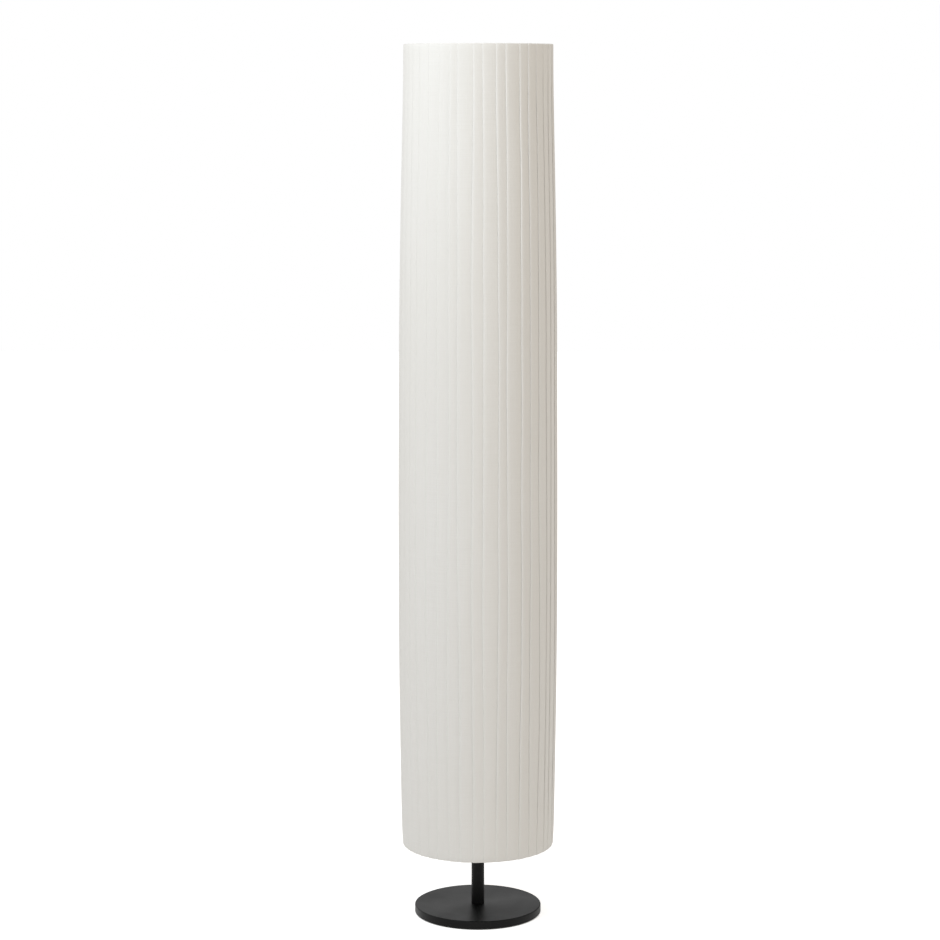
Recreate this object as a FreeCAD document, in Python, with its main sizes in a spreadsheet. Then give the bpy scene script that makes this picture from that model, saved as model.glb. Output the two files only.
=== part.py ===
import FreeCAD, Part
import math
import operator
import os
import Sketcher

from FreeCAD import Vector

# Floor lamp: a heavy round foot carries a slim pole of three screwed sections. Two arms clamped in the
# pole's joints hold a bulb each, one above the other, inside a tall cylinder of knife-pleated cloth.
# The cloth hangs from a wire ring whose spider sits on the pole's end under a knurled knob.
# The origin is on the floor under the pole. +Z is up and -Y is the front.

# ----------------------------------------------------------------------------------------------------
# Driving sizes: millimetres, degrees and counts
# ----------------------------------------------------------------------------------------------------

SIZES = {
    # foot
    "plate_diameter": 176,
    "plate_thickness": 11,
    "plate_edge_round": 1.5,
    "plate_edge_chamfer": 0.8,
    "plate_web": 5,
    "pad_diameter": 166,
    "pad_thickness": 2,
    "pad_proud": 1,
    "pad_hole": 40,
    "pad_gap": 0.3,
    "nut_pocket": 32,
    # threads, nuts and washers
    "thread_diameter": 10,
    "thread_bore": 7.6,
    "thread_gap": 0.25,
    "nut_flats": 14,
    "nut_height": 4,
    "nipple_proud": 1,
    "washer_diameter": 20,
    "washer_thickness": 1,
    "joint_nipple": 24,
    "insert_length": 14,
    "seat_gap": 0.05,
    # pole
    "pole_diameter": 18,
    "pole_wall": 1.5,
    "section_length": 384,
    "inlet_height": 22,
    "inlet_bore": 6,
    "outlet_drop": 8,
    "outlet_bore": 8,
    "grommet_hole": 10,
    "grommet_flange": 13,
    "grommet_lip": 1.5,
    # arms and leads
    "arm_width": 24,
    "arm_thickness": 2.5,
    "arm_reach": 46,
    "lead_diameter": 3.4,
    "lead_pitch": 3.8,
    "lead_start_gap": 0.6,
    "lead_end_gap": 0.3,
    "inlet_bend": 6,
    "pole_bend": 10,
    "holder_bend": 14,
    # lamp holders
    "holder_diameter": 40,
    "holder_neck": 16,
    "neck_height": 5,
    "cap_height": 20,
    "cap_round": 5,
    "cap_thread": 8,
    "shoulder_height": 16,
    "cap_wall": 1.8,
    "spigot_height": 5,
    "shell_height": 38,
    "shell_wall": 2.6,
    "shell_lip": 2,
    "shell_mouth": 30,
    "flute_count": 20,
    "flute_diameter": 2.6,
    "flute_depth": 0.8,
    "insert_thickness": 8,
    "insert_collar": 5,
    "insert_collar_wall": 2.9,
    "screw_shell_wall": 0.5,
    "screw_shell_height": 22.5,
    "screw_shell_hole": 13,
    "contact_diameter": 10,
    "contact_height": 1,
    # bulbs
    "bulb_diameter": 60,
    "bulb_length": 108,
    "bulb_neck": 28,
    "bulb_neck_height": 4,
    "bulb_waist_round": 18,
    "bulb_seam_drop": 12,
    "bulb_cap_diameter": 26.2,
    "bulb_cap_top": 26.2,
    "bulb_cap_shoulder": 3,
    "bulb_cap_gap": 0.3,
    "bulb_tip_diameter": 9.5,
    "bulb_tip_height": 2.4,
    "bulb_tip_gap": 0.1,
    # shade
    "shade_height": 1100,
    "rim_rise": 31,
    "top_rim_diameter": 201,
    "bottom_rim_diameter": 209.4,
    "belly_diameter": 217.7,
    "belly_height": 330,
    "pleat_count": 40,
    "pleat_depth": 3.2,
    "pleat_tuck": 3,
    "rim_pleat_depth": 1,
    "cloth_thickness": 0.6,
    "liner_thickness": 0.5,
    "liner_gap": 0.2,
    "ring_wire": 4,
    "ring_gap": 0.3,
    "tape_thickness": 0.5,
    "tape_height": 14,
    "seam_angle": 7,
    "seam_thickness": 0.3,
    "seam_gap": 0.3,
    # spider and knob
    "hub_diameter": 30,
    "hub_thickness": 2,
    "spoke_count": 3,
    "spoke_wire": 4,
    "spoke_start": 12,
    "spoke_flat": 8,
    "spoke_bend": 20,
    "spoke_turn": 30,
    "notch_margin": 0.6,
    "knob_diameter": 20,
    "knob_height": 14,
    "knob_round": 1.5,
    "knob_gap": 0.1,
    "knurl_count": 24,
    "knurl_diameter": 1.4,
    "brass_diameter": 13,
    "brass_length": 10,
    "brass_thread_gap": 0.1,
}

BELLY_POWER_ABOVE = 2.15
BELLY_POWER_BELOW = 2.8
CLOTH_LEVELS = 9

LOWER_SIDE = 0
UPPER_SIDE = 180
REAR_SIDE = 90
FULL_TURN = 360

# ----------------------------------------------------------------------------------------------------
# Amounts: numbers that remember how the sheet gives them
# ----------------------------------------------------------------------------------------------------

OPERATIONS = {"+": operator.add, "-": operator.sub, "*": operator.mul, "/": operator.truediv}


class Amount:
    """A number together with the sheet expression that it comes from."""

    def __init__(self, number, text):
        self.number = number
        self.text = text

    def __float__(self):
        return float(self.number)

    def __add__(self, other):
        return combined(self, "+", other)

    def __radd__(self, other):
        return combined(other, "+", self)

    def __sub__(self, other):
        return combined(self, "-", other)

    def __rsub__(self, other):
        return combined(other, "-", self)

    def __mul__(self, other):
        return combined(self, "*", other)

    def __rmul__(self, other):
        return combined(other, "*", self)

    def __truediv__(self, other):
        return combined(self, "/", other)


def amount(value):
    if isinstance(value, Amount):
        return value
    return Amount(value, str(value))


def combined(left, sign, right):
    left = amount(left)
    right = amount(right)
    return Amount(OPERATIONS[sign](left.number, right.number), f"({left.text} {sign} {right.text})")


def square_root(value):
    return Amount(math.sqrt(float(value)), f"sqrt({value.text})")


def arc_sine(value):
    return Amount(math.degrees(math.asin(float(value))), f"asin({value.text})")


class Sizes:
    """The spreadsheet, with one attribute for each alias."""

    def __init__(self, document, numbers):
        self.sheet = document.addObject("Spreadsheet::Sheet", "Sizes")
        for row, (alias, number) in enumerate(numbers.items(), 1):
            self.sheet.set(f"A{row}", alias)
            self.sheet.set(f"B{row}", str(number))
            self.sheet.setAlias(f"B{row}", alias)
            setattr(self, alias, Amount(number, f"Sizes.{alias}"))
        document.recompute()


doc = FreeCAD.newDocument("floor_lamp")
S = Sizes(doc, SIZES)

# ----------------------------------------------------------------------------------------------------
# Places that more than one piece uses
# ----------------------------------------------------------------------------------------------------

PLATE_TOP = S.pad_proud + S.plate_thickness
PAD_RECESS = S.pad_thickness - S.pad_proud
WEB_BOTTOM = PLATE_TOP - S.plate_web
NUT_BOTTOM = WEB_BOTTOM - S.washer_thickness - S.nut_height

LOWER_ARM_BOTTOM = PLATE_TOP + S.section_length
MIDDLE_SECTION_BOTTOM = LOWER_ARM_BOTTOM + S.arm_thickness
UPPER_ARM_BOTTOM = MIDDLE_SECTION_BOTTOM + S.section_length
UPPER_SECTION_BOTTOM = UPPER_ARM_BOTTOM + S.arm_thickness
POLE_TOP = UPPER_SECTION_BOTTOM + S.section_length

POLE_RADIUS = S.pole_diameter / 2
POLE_BORE = S.pole_diameter - 2 * S.pole_wall
INLET_LEVEL = PLATE_TOP + S.inlet_height
LOWER_OUTLET_LEVEL = LOWER_ARM_BOTTOM - S.insert_length - S.outlet_drop
UPPER_OUTLET_LEVEL = UPPER_ARM_BOTTOM - S.insert_length - S.outlet_drop

THREAD_HOLE = S.thread_diameter + 2 * S.thread_gap
THREAD_SEAT = S.thread_diameter + 2 * S.seat_gap
HOLDER_NIPPLE_TAIL = S.arm_thickness + S.nut_height + S.nipple_proud

SPIGOT_RADIUS = S.holder_diameter / 2 - S.shell_wall - S.seat_gap
INSERT_BOTTOM = S.cap_height + S.spigot_height + S.seat_gap
INSERT_TOP = INSERT_BOTTOM + S.insert_thickness
CONTACT_TOP = INSERT_TOP + S.seat_gap + S.contact_height
BULB_BOTTOM = CONTACT_TOP + S.bulb_tip_gap

SHADE_TOP = POLE_TOP + S.rim_rise
SHADE_BOTTOM = SHADE_TOP - S.shade_height
CLOTH_ALLOWANCE = 2 * S.cloth_thickness + S.liner_gap
FOLD_ALLOWANCE = S.rim_pleat_depth + CLOTH_ALLOWANCE
LINER_TOP_RADIUS = S.top_rim_diameter / 2 - FOLD_ALLOWANCE
LINER_BOTTOM_RADIUS = S.bottom_rim_diameter / 2 - FOLD_ALLOWANCE
RING_INSET = S.liner_thickness + S.ring_gap + S.ring_wire / 2
RING_LEVEL = S.tape_thickness + S.ring_gap + S.ring_wire / 2
TOP_RING_RADIUS = LINER_TOP_RADIUS - RING_INSET
BOTTOM_RING_RADIUS = LINER_BOTTOM_RADIUS - RING_INSET
LINER_MARGIN = S.tape_thickness + S.liner_gap

KNOB_BOTTOM = POLE_TOP + S.hub_thickness + S.washer_thickness + S.knob_gap

# ----------------------------------------------------------------------------------------------------
# Building blocks
# ----------------------------------------------------------------------------------------------------

NODES = []
ORIGIN = -1
ACROSS_AXIS = -1
UP_AXIS = -2
START_POINT, END_POINT, CENTRE_POINT = range(1, 4)
HEXAGON_SIDES = 6
SAME_PLACE = 1e-4


def keep(piece):
    """Lists a finished sub-part for checking and export."""
    NODES.append(piece)
    return piece


def bind(piece, **amounts):
    for name, value in amounts.items():
        piece.setExpression(name, amount(value).text)


def place(piece, across=0, depth=0, up=0, turn=0):
    piece.Placement.Rotation = FreeCAD.Rotation(Vector(0, 0, 1), float(turn))
    for axis, value in (("x", across), ("y", depth), ("z", up)):
        if float(value) != 0:
            piece.setExpression(f"Placement.Base.{axis}", amount(value).text)
    return piece


def make_body(label):
    body = doc.addObject("PartDesign::Body", label)
    body.Label = label
    return body


def origin_part(body, role):
    return next(part for part in body.Origin.OriginFeatures if part.Role == role)


def sketch_on(body, role, name, lift=0):
    sketch = body.newObject("Sketcher::SketchObject", f"{body.Name}_{name}")
    sketch.AttachmentSupport = [(origin_part(body, role), "")]
    sketch.MapMode = "FlatFace"
    if float(lift) != 0:
        sketch.setExpression("AttachmentOffset.Base.z", amount(lift).text)
    return sketch


def hold_point(sketch, geometry, point, across, up):
    """Holds one sketch point at a distance from the origin along each sketch axis."""
    for kind, axis, value in (("DistanceX", UP_AXIS, amount(across)), ("DistanceY", ACROSS_AXIS, amount(up))):
        if value.number == 0:
            sketch.addConstraint(Sketcher.Constraint("PointOnObject", geometry, point, axis))
            continue
        ends = (ORIGIN, START_POINT, geometry, point)
        if value.number < 0:
            ends = (geometry, point, ORIGIN, START_POINT)
            value = 0 - value
        index = sketch.addConstraint(Sketcher.Constraint(kind, *ends, value.number))
        sketch.setExpression(f"Constraints[{index}]", value.text)


def outline(sketch, corners):
    """Draws a closed straight-sided outline whose every corner is held by its two amounts."""
    spots = [Vector(float(across), float(up), 0) for across, up in corners]
    first = sketch.GeometryCount
    for spot, following in zip(spots, spots[1:] + spots[:1]):
        sketch.addGeometry(Part.LineSegment(spot, following))
    for place_in_row, (across, up) in enumerate(corners):
        side = first + place_in_row
        following = first + (place_in_row + 1) % len(corners)
        sketch.addConstraint(Sketcher.Constraint("Coincident", side, END_POINT, following, START_POINT))
        hold_point(sketch, side, START_POINT, across, up)


def circle(sketch, diameter, across=0, up=0):
    centre = Vector(float(across), float(up), 0)
    index = sketch.addGeometry(Part.Circle(centre, Vector(0, 0, 1), float(diameter) / 2))
    hold_point(sketch, index, CENTRE_POINT, across, up)
    held = sketch.addConstraint(Sketcher.Constraint("Diameter", index, float(diameter)))
    sketch.setExpression(f"Constraints[{held}]", amount(diameter).text)


def revolved(label, corners, angle=FULL_TURN):
    """A body turned about its own Z axis from a half section in (radius, height)."""
    body = make_body(label)
    section = sketch_on(body, "XZ_Plane", "section")
    outline(section, corners)
    turned = body.newObject("PartDesign::Revolution", f"{label}_turned")
    turned.Profile = section
    turned.ReferenceAxis = (section, ["V_Axis"])
    turned.Midplane = float(angle) < FULL_TURN
    bind(turned, Angle=angle)
    return body


def tube(label, outer, inner, length):
    """A straight tube, ring or washer standing on its own Z = 0."""
    body = make_body(label)
    section = sketch_on(body, "XY_Plane", "section")
    circle(section, outer)
    circle(section, inner)
    pad = body.newObject("PartDesign::Pad", f"{label}_pad")
    pad.Profile = section
    bind(pad, Length=length)
    return body


def is_circle(edge, radius, height):
    """Tells whether an edge is the level circle of this radius and height around the Z axis."""
    curve = edge.Curve
    if not isinstance(curve, Part.Circle):
        return False
    same_radius = abs(curve.Radius - float(radius)) < SAME_PLACE
    centred = math.hypot(curve.Center.x, curve.Center.y) < SAME_PLACE
    return same_radius and centred and abs(curve.Center.z - float(height)) < SAME_PLACE


def dress_edge(body, kind, size, radius, height):
    """Rounds or chamfers the level circle of this radius and height."""
    doc.recompute()
    base = body.Tip
    names = [f"Edge{i}" for i, edge in enumerate(base.Shape.Edges, 1) if is_circle(edge, radius, height)]
    dressing = body.newObject(f"PartDesign::{kind}", f"{body.Name}_{kind.lower()}_{len(body.Group)}")
    dressing.Base = (base, names)
    if kind == "Fillet":
        bind(dressing, Radius=size)
    else:
        bind(dressing, Size=size)


def cut_through(body, sketch, name):
    pocket = body.newObject("PartDesign::Pocket", f"{body.Name}_{name}")
    pocket.Profile = sketch
    pocket.Type = "ThroughAll"
    pocket.Midplane = True
    return pocket


def repeat_round(body, feature, count):
    pattern = body.newObject("PartDesign::PolarPattern", f"{feature.Name}_round")
    pattern.Originals = [feature]
    pattern.Axis = (origin_part(body, "Z_Axis"), [""])
    pattern.Angle = FULL_TURN
    bind(pattern, Occurrences=count)
    body.Tip = pattern
    return pattern


def cylinder(name, radius, height, across=0, up=0, axis=Vector(0, 0, 1)):
    """A plain cylinder, for use in the booleans below."""
    solid = doc.addObject("Part::Cylinder", name)
    bind(solid, Radius=radius, Height=height)
    place(solid, across=across, up=up)
    solid.Placement.Rotation = FreeCAD.Rotation(Vector(0, 0, 1), axis)
    return solid


def cut(name, base, tool):
    result = doc.addObject("Part::Cut", name)
    result.Base = base
    result.Tool = tool
    result.Label = name
    return result


def group(label, pieces):
    """One node of several equal pieces."""
    compound = doc.addObject("Part::Compound", label)
    compound.Label = label
    compound.Links = pieces
    return keep(compound)


# ----------------------------------------------------------------------------------------------------
# Foot
# ----------------------------------------------------------------------------------------------------


def make_base_plate():
    hole = THREAD_HOLE / 2
    rim = S.plate_diameter / 2
    pocket = S.nut_pocket / 2
    recess = S.pad_diameter / 2 + S.pad_gap
    web = S.plate_thickness - S.plate_web
    plate = revolved("base_plate", [
        (hole, web),
        (hole, S.plate_thickness),
        (rim, S.plate_thickness),
        (rim, 0),
        (recess, 0),
        (recess, PAD_RECESS),
        (pocket, PAD_RECESS),
        (pocket, web),
    ])
    dress_edge(plate, "Fillet", S.plate_edge_round, rim, S.plate_thickness)
    dress_edge(plate, "Chamfer", S.plate_edge_chamfer, rim, 0)
    keep(place(plate, up=S.pad_proud))


def make_base_pad():
    keep(tube("base_pad", S.pad_diameter, S.pad_hole, S.pad_thickness))


def make_hex_nut(name):
    corner_radius = S.nut_flats / math.sqrt(3)
    blank = doc.addObject("Part::Prism", f"{name}_blank")
    blank.Polygon = HEXAGON_SIDES
    bind(blank, Circumradius=corner_radius, Height=S.nut_height)
    bore = cylinder(f"{name}_bore", THREAD_SEAT / 2, S.nut_height)
    return cut(name, blank, bore)


def make_base_fixings():
    washer = tube("base_washer", S.washer_diameter, THREAD_HOLE, S.washer_thickness)
    keep(place(washer, up=WEB_BOTTOM - S.washer_thickness))
    keep(place(make_hex_nut("base_nut"), up=NUT_BOTTOM))


# ----------------------------------------------------------------------------------------------------
# Pole
# ----------------------------------------------------------------------------------------------------


def pole_section(label, bottom):
    body = tube(label, S.pole_diameter, POLE_BORE, S.section_length)
    return keep(place(body, up=bottom))


def drill_pole(body, level, side):
    """Cuts one round hole through the wall on one side, at a height above the section's foot."""
    role = "XZ_Plane" if side == REAR_SIDE else "YZ_Plane"
    hole = sketch_on(body, role, f"hole_{side}")
    circle(hole, S.grommet_hole, up=level)
    pocket = body.newObject("PartDesign::Pocket", f"{body.Name}_hole_{side}_cut")
    pocket.Profile = hole
    pocket.Reversed = side == LOWER_SIDE
    bind(pocket, Length=S.pole_diameter)
    return pocket


def make_pole():
    lower = pole_section("pole_lower", PLATE_TOP)
    middle = pole_section("pole_middle", MIDDLE_SECTION_BOTTOM)
    pole_section("pole_upper", UPPER_SECTION_BOTTOM)
    outlet_level = S.section_length - S.insert_length - S.outlet_drop
    drill_pole(lower, S.inlet_height, REAR_SIDE)
    drill_pole(lower, outlet_level, LOWER_SIDE)
    drill_pole(middle, outlet_level, UPPER_SIDE)


def make_pole_inserts():
    """Threaded rings pressed into both ends of each pole section."""
    inserts = []
    for number, bottom in enumerate((PLATE_TOP, MIDDLE_SECTION_BOTTOM, UPPER_SECTION_BOTTOM)):
        for end, shift in (("foot", 0), ("head", S.section_length - S.insert_length)):
            name = f"insert_{number}_{end}"
            ring = tube(name, POLE_BORE - 2 * S.seat_gap, THREAD_SEAT, S.insert_length)
            inserts.append(place(ring, up=bottom + shift))
    group("pole_inserts", inserts)


def make_joint_nipples():
    """Hollow threaded rods: one screws the pole to the foot, two clamp the arms between the sections."""
    middles = (LOWER_ARM_BOTTOM + S.arm_thickness / 2, UPPER_ARM_BOTTOM + S.arm_thickness / 2)
    bottoms = [NUT_BOTTOM - S.pad_proud / 2] + [middle - S.joint_nipple / 2 for middle in middles]
    nipples = []
    for number, bottom in enumerate(bottoms):
        rod = tube(f"joint_nipple_{number}", S.thread_diameter, S.thread_bore, S.joint_nipple)
        nipples.append(place(rod, up=bottom))
    group("joint_nipples", nipples)


def make_top_stud():
    """The rod on the pole's end that carries the spider, its washer and the knob."""
    length = S.insert_length + S.hub_thickness + S.washer_thickness + S.brass_length
    stud = cylinder("top_stud", S.thread_diameter / 2, length - 2 * S.knob_gap)
    stud.Label = "top_stud"
    keep(place(stud, up=POLE_TOP - S.insert_length + S.knob_gap))


def make_grommet(label, bore, level, side):
    """A rubber ring snapped into a hole of the pole: a lip on each side of the wall, and a neck between."""
    sideways = Vector(1, 0, 0)
    inner_face = POLE_RADIUS - S.pole_wall - S.grommet_lip
    length = S.pole_wall + 2 * S.grommet_lip
    tall = S.grommet_flange * 2
    blank = cylinder(f"{label}_blank", S.grommet_flange / 2, length, across=inner_face, axis=sideways)
    neck = cylinder(f"{label}_neck", S.grommet_hole / 2 - S.seat_gap, S.pole_diameter, axis=sideways)
    hole = cylinder(f"{label}_hole", bore / 2, S.pole_diameter, axis=sideways)
    outside = cylinder(f"{label}_outside", POLE_RADIUS + S.seat_gap, tall, up=0 - S.grommet_flange)
    inside = cylinder(f"{label}_inside", POLE_BORE / 2 - S.seat_gap, tall, up=0 - S.grommet_flange)
    wall = cut(f"{label}_wall", outside, inside)
    groove = cut(f"{label}_groove", wall, neck)
    grooved = cut(f"{label}_grooved", blank, groove)
    grommet = cut(label, grooved, hole)
    keep(place(grommet, up=level, turn=side))


# ----------------------------------------------------------------------------------------------------
# Arms, nipples and nuts under the lamp holders
# ----------------------------------------------------------------------------------------------------


def make_arm(label, level, side):
    """A flat strip with round ends, one hole on the pole's axis and one under the lamp holder."""
    body = make_body(label)
    shape = sketch_on(body, "XY_Plane", "shape")
    half_width = float(S.arm_width) / 2
    reach = float(S.arm_reach)
    quarter = math.pi / 2
    near = Part.Circle(Vector(0, 0, 0), Vector(0, 0, 1), half_width)
    far = Part.Circle(Vector(reach, 0, 0), Vector(0, 0, 1), half_width)
    near_end = shape.addGeometry(Part.ArcOfCircle(near, quarter, 3 * quarter))
    far_end = shape.addGeometry(Part.ArcOfCircle(far, -quarter, quarter))
    front = shape.addGeometry(Part.LineSegment(Vector(0, -half_width, 0), Vector(reach, -half_width, 0)))
    back = shape.addGeometry(Part.LineSegment(Vector(reach, half_width, 0), Vector(0, half_width, 0)))
    corners = (
        (near_end, END_POINT, front, START_POINT),
        (front, END_POINT, far_end, START_POINT),
        (far_end, END_POINT, back, START_POINT),
        (back, END_POINT, near_end, START_POINT),
    )
    for corner in corners:
        shape.addConstraint(Sketcher.Constraint("Tangent", *corner))
    hold_point(shape, near_end, CENTRE_POINT, 0, 0)
    hold_point(shape, far_end, CENTRE_POINT, S.arm_reach, 0)
    held = shape.addConstraint(Sketcher.Constraint("Radius", near_end, half_width))
    shape.setExpression(f"Constraints[{held}]", (S.arm_width / 2).text)
    circle(shape, THREAD_HOLE)
    circle(shape, THREAD_HOLE, across=S.arm_reach)
    pad = body.newObject("PartDesign::Pad", f"{label}_pad")
    pad.Profile = shape
    bind(pad, Length=S.arm_thickness)
    keep(place(body, up=level, turn=side))


def holder_places():
    """Each lamp holder's name, distance from the pole's axis, and the level of its arm's top face."""
    return (
        ("lower", S.arm_reach, LOWER_ARM_BOTTOM + S.arm_thickness),
        ("upper", 0 - S.arm_reach, UPPER_ARM_BOTTOM + S.arm_thickness),
    )


def make_holder_fixings():
    nipples = []
    nuts = []
    for name, across, seat in holder_places():
        length = HOLDER_NIPPLE_TAIL + S.cap_thread
        nipple = tube(f"{name}_holder_nipple", S.thread_diameter, S.thread_bore, length)
        nipples.append(place(nipple, across=across, up=seat - HOLDER_NIPPLE_TAIL))
        nut = make_hex_nut(f"{name}_holder_nut")
        nuts.append(place(nut, across=across, up=seat - S.arm_thickness - S.nut_height))
    group("holder_nipples", nipples)
    group("holder_nuts", nuts)


# ----------------------------------------------------------------------------------------------------
# Leads inside the pole and out to the lamp holders
# ----------------------------------------------------------------------------------------------------


def bent_route(corners, bends):
    """Edges of a route with straight runs and a tangent arc of the given radius at each inner corner."""
    edges = []
    reached = corners[0]
    for before, corner, after, bend in zip(corners, corners[1:], corners[2:], bends):
        inward = (before - corner).normalize()
        outward = (after - corner).normalize()
        entry = corner + inward * bend
        leave = corner + outward * bend
        centre = corner + (inward + outward) * bend
        crest = centre + (corner - centre).normalize() * bend
        edges.append(Part.LineSegment(reached, entry).toShape())
        edges.append(Part.Arc(entry, crest, leave).toShape())
        reached = leave
    edges.append(Part.LineSegment(reached, corners[-1]).toShape())
    return edges


def make_lead(label, corners, bends):
    """A round insulated wire along a route whose corners are all square."""
    radius = float(S.lead_diameter) / 2
    route = Part.Wire(bent_route(corners, bends))
    heading = (corners[1] - corners[0]).normalize()
    section = Part.Wire([Part.Circle(corners[0], heading, radius).toShape()])
    lead = doc.addObject("Part::Feature", label)
    lead.Label = label
    lead.Shape = route.makePipeShell([section], True, False)
    expected = math.pi * radius ** 2 * route.Length
    print(f"{label}: bends {bends}, volume {lead.Shape.Volume:.0f} of {expected:.0f}")
    keep(lead)


def make_leads():
    aside = float(S.lead_pitch) / 2
    inlet = float(INLET_LEVEL)
    outlets = (float(LOWER_OUTLET_LEVEL), float(UPPER_OUTLET_LEVEL))
    ends = [float(seat + INSERT_BOTTOM - S.lead_end_gap) for name, across, seat in holder_places()]
    reach = float(S.arm_reach)
    start = float(POLE_RADIUS - S.pole_wall - S.grommet_lip - S.lead_start_gap)
    inlet_bend = float(S.inlet_bend)
    pole_bend = float(S.pole_bend)
    holder_bend = float(S.holder_bend)
    make_lead("supply_lead", [
        Vector(0, start, inlet),
        Vector(0, -aside, inlet),
        Vector(0, -aside, outlets[0]),
        Vector(reach, -aside, outlets[0]),
        Vector(reach, -aside, ends[0]),
    ], [inlet_bend, pole_bend, holder_bend])
    make_lead("link_lead", [
        Vector(reach, aside, ends[0]),
        Vector(reach, aside, outlets[0]),
        Vector(0, aside, outlets[0]),
        Vector(0, aside, outlets[1]),
        Vector(-reach, aside, outlets[1]),
        Vector(-reach, aside, ends[1]),
    ], [holder_bend, pole_bend, pole_bend, holder_bend])


# ----------------------------------------------------------------------------------------------------
# Lamp holders
# ----------------------------------------------------------------------------------------------------


def make_holder_cap(label):
    """The domed lower half: a threaded neck on the nipple and a spigot inside the shell."""
    bore = THREAD_SEAT / 2
    neck = S.holder_neck / 2
    rim = S.holder_diameter / 2
    spigot_top = S.cap_height + S.spigot_height
    cavity = SPIGOT_RADIUS - S.cap_wall
    floor = S.cap_thread + S.cap_wall
    cap = revolved(label, [
        (bore, 0),
        (neck, 0),
        (neck, S.neck_height),
        (rim, S.shoulder_height),
        (rim, S.cap_height),
        (SPIGOT_RADIUS, S.cap_height),
        (SPIGOT_RADIUS, spigot_top),
        (cavity, spigot_top),
        (cavity, S.shoulder_height),
        (neck, floor),
        (bore, floor),
    ])
    dress_edge(cap, "Fillet", S.cap_round, rim, S.shoulder_height)
    return cap


def make_holder_shell(label):
    """The fluted sleeve around the screw shell, with a lip around the bulb's cap."""
    outer = S.holder_diameter / 2
    inner = outer - S.shell_wall
    mouth = S.shell_mouth / 2
    shell = revolved(label, [
        (inner, 0),
        (outer, 0),
        (outer, S.shell_height),
        (mouth, S.shell_height),
        (mouth, S.shell_height - S.shell_lip),
        (inner, S.shell_height - S.shell_lip),
    ])
    dress_edge(shell, "Fillet", S.shell_lip / 2, outer, S.shell_height)
    flute = sketch_on(shell, "XY_Plane", "flute")
    circle(flute, S.flute_diameter, across=outer + S.flute_diameter / 2 - S.flute_depth)
    repeat_round(shell, cut_through(shell, flute, "flute_cut"), S.flute_count)
    return shell


def make_holder_insert(label):
    """The insulating puck that carries the contact and, in its collar, the screw shell."""
    rim = SPIGOT_RADIUS - S.seat_gap
    collar = rim - S.insert_collar_wall
    top = S.insert_thickness + S.insert_collar
    return revolved(label, [
        (0, 0),
        (rim, 0),
        (rim, top),
        (collar, top),
        (collar, S.insert_thickness),
        (0, S.insert_thickness),
    ])


def make_screw_shell(label):
    """The thin metal thimble that the bulb's cap screws into."""
    inner = S.bulb_cap_diameter / 2 + S.bulb_cap_gap
    outer = inner + S.screw_shell_wall
    hole = S.screw_shell_hole / 2
    return revolved(label, [
        (hole, 0),
        (outer, 0),
        (outer, S.screw_shell_height),
        (inner, S.screw_shell_height),
        (inner, S.screw_shell_wall),
        (hole, S.screw_shell_wall),
    ])


def make_centre_contact(label):
    contact = cylinder(label, S.contact_diameter / 2, S.contact_height)
    contact.Label = label
    return contact


def make_holder(name, across, seat):
    on_insert = seat + INSERT_TOP + S.seat_gap
    keep(place(make_holder_cap(f"{name}_holder_cap"), across, up=seat))
    keep(place(make_holder_shell(f"{name}_holder_shell"), across, up=seat + S.cap_height + S.seat_gap))
    keep(place(make_holder_insert(f"{name}_holder_insert"), across, up=seat + INSERT_BOTTOM))
    keep(place(make_screw_shell(f"{name}_screw_shell"), across, up=on_insert))
    keep(place(make_centre_contact(f"{name}_centre_contact"), across, up=on_insert))


# ----------------------------------------------------------------------------------------------------
# Bulbs
# ----------------------------------------------------------------------------------------------------


def make_bulb(name, across, seat):
    """A bulb from its contact tip up: tip, screw cap, tapered housing and round globe."""
    bottom = seat + BULB_BOTTOM
    radius = S.bulb_diameter / 2
    globe_centre = S.bulb_length - radius
    seam = globe_centre - S.bulb_seam_drop
    seam_radius = square_root(radius * radius - S.bulb_seam_drop * S.bulb_seam_drop)
    cap_radius = S.bulb_cap_diameter / 2
    cap_bottom = S.bulb_tip_height + S.seat_gap
    housing_bottom = S.bulb_cap_top + S.seat_gap

    tip = cylinder(f"{name}_bulb_tip", S.bulb_tip_diameter / 2, S.bulb_tip_height)
    tip.Label = f"{name}_bulb_tip"
    keep(place(tip, across, up=bottom))

    cap = revolved(f"{name}_bulb_cap", [
        (0, cap_bottom),
        (S.bulb_tip_diameter / 2 + S.bulb_cap_gap, cap_bottom),
        (cap_radius, cap_bottom + S.bulb_cap_shoulder),
        (cap_radius, S.bulb_cap_top),
        (0, S.bulb_cap_top),
    ])
    keep(place(cap, across, up=bottom))

    housing = revolved(f"{name}_bulb_housing", [
        (0, housing_bottom),
        (S.bulb_neck / 2, housing_bottom),
        (S.bulb_neck / 2, housing_bottom + S.bulb_neck_height),
        (seam_radius, seam - S.seat_gap),
        (0, seam - S.seat_gap),
    ])
    dress_edge(housing, "Fillet", S.bulb_waist_round, S.bulb_neck / 2, housing_bottom + S.bulb_neck_height)
    keep(place(housing, across, up=bottom))

    globe = doc.addObject("Part::Sphere", f"{name}_bulb_globe")
    globe.Label = f"{name}_bulb_globe"
    bind(globe, Radius=radius, Angle1=arc_sine(0 - S.bulb_seam_drop / radius))
    keep(place(globe, across, up=bottom + globe_centre))


# ----------------------------------------------------------------------------------------------------
# Shade frame: rings, spider, liner and rim tapes
# ----------------------------------------------------------------------------------------------------


def make_ring(label, radius, level):
    ring = doc.addObject("Part::Torus", label)
    ring.Label = label
    bind(ring, Radius1=radius, Radius2=S.ring_wire / 2)
    keep(place(ring, up=level))


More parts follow.
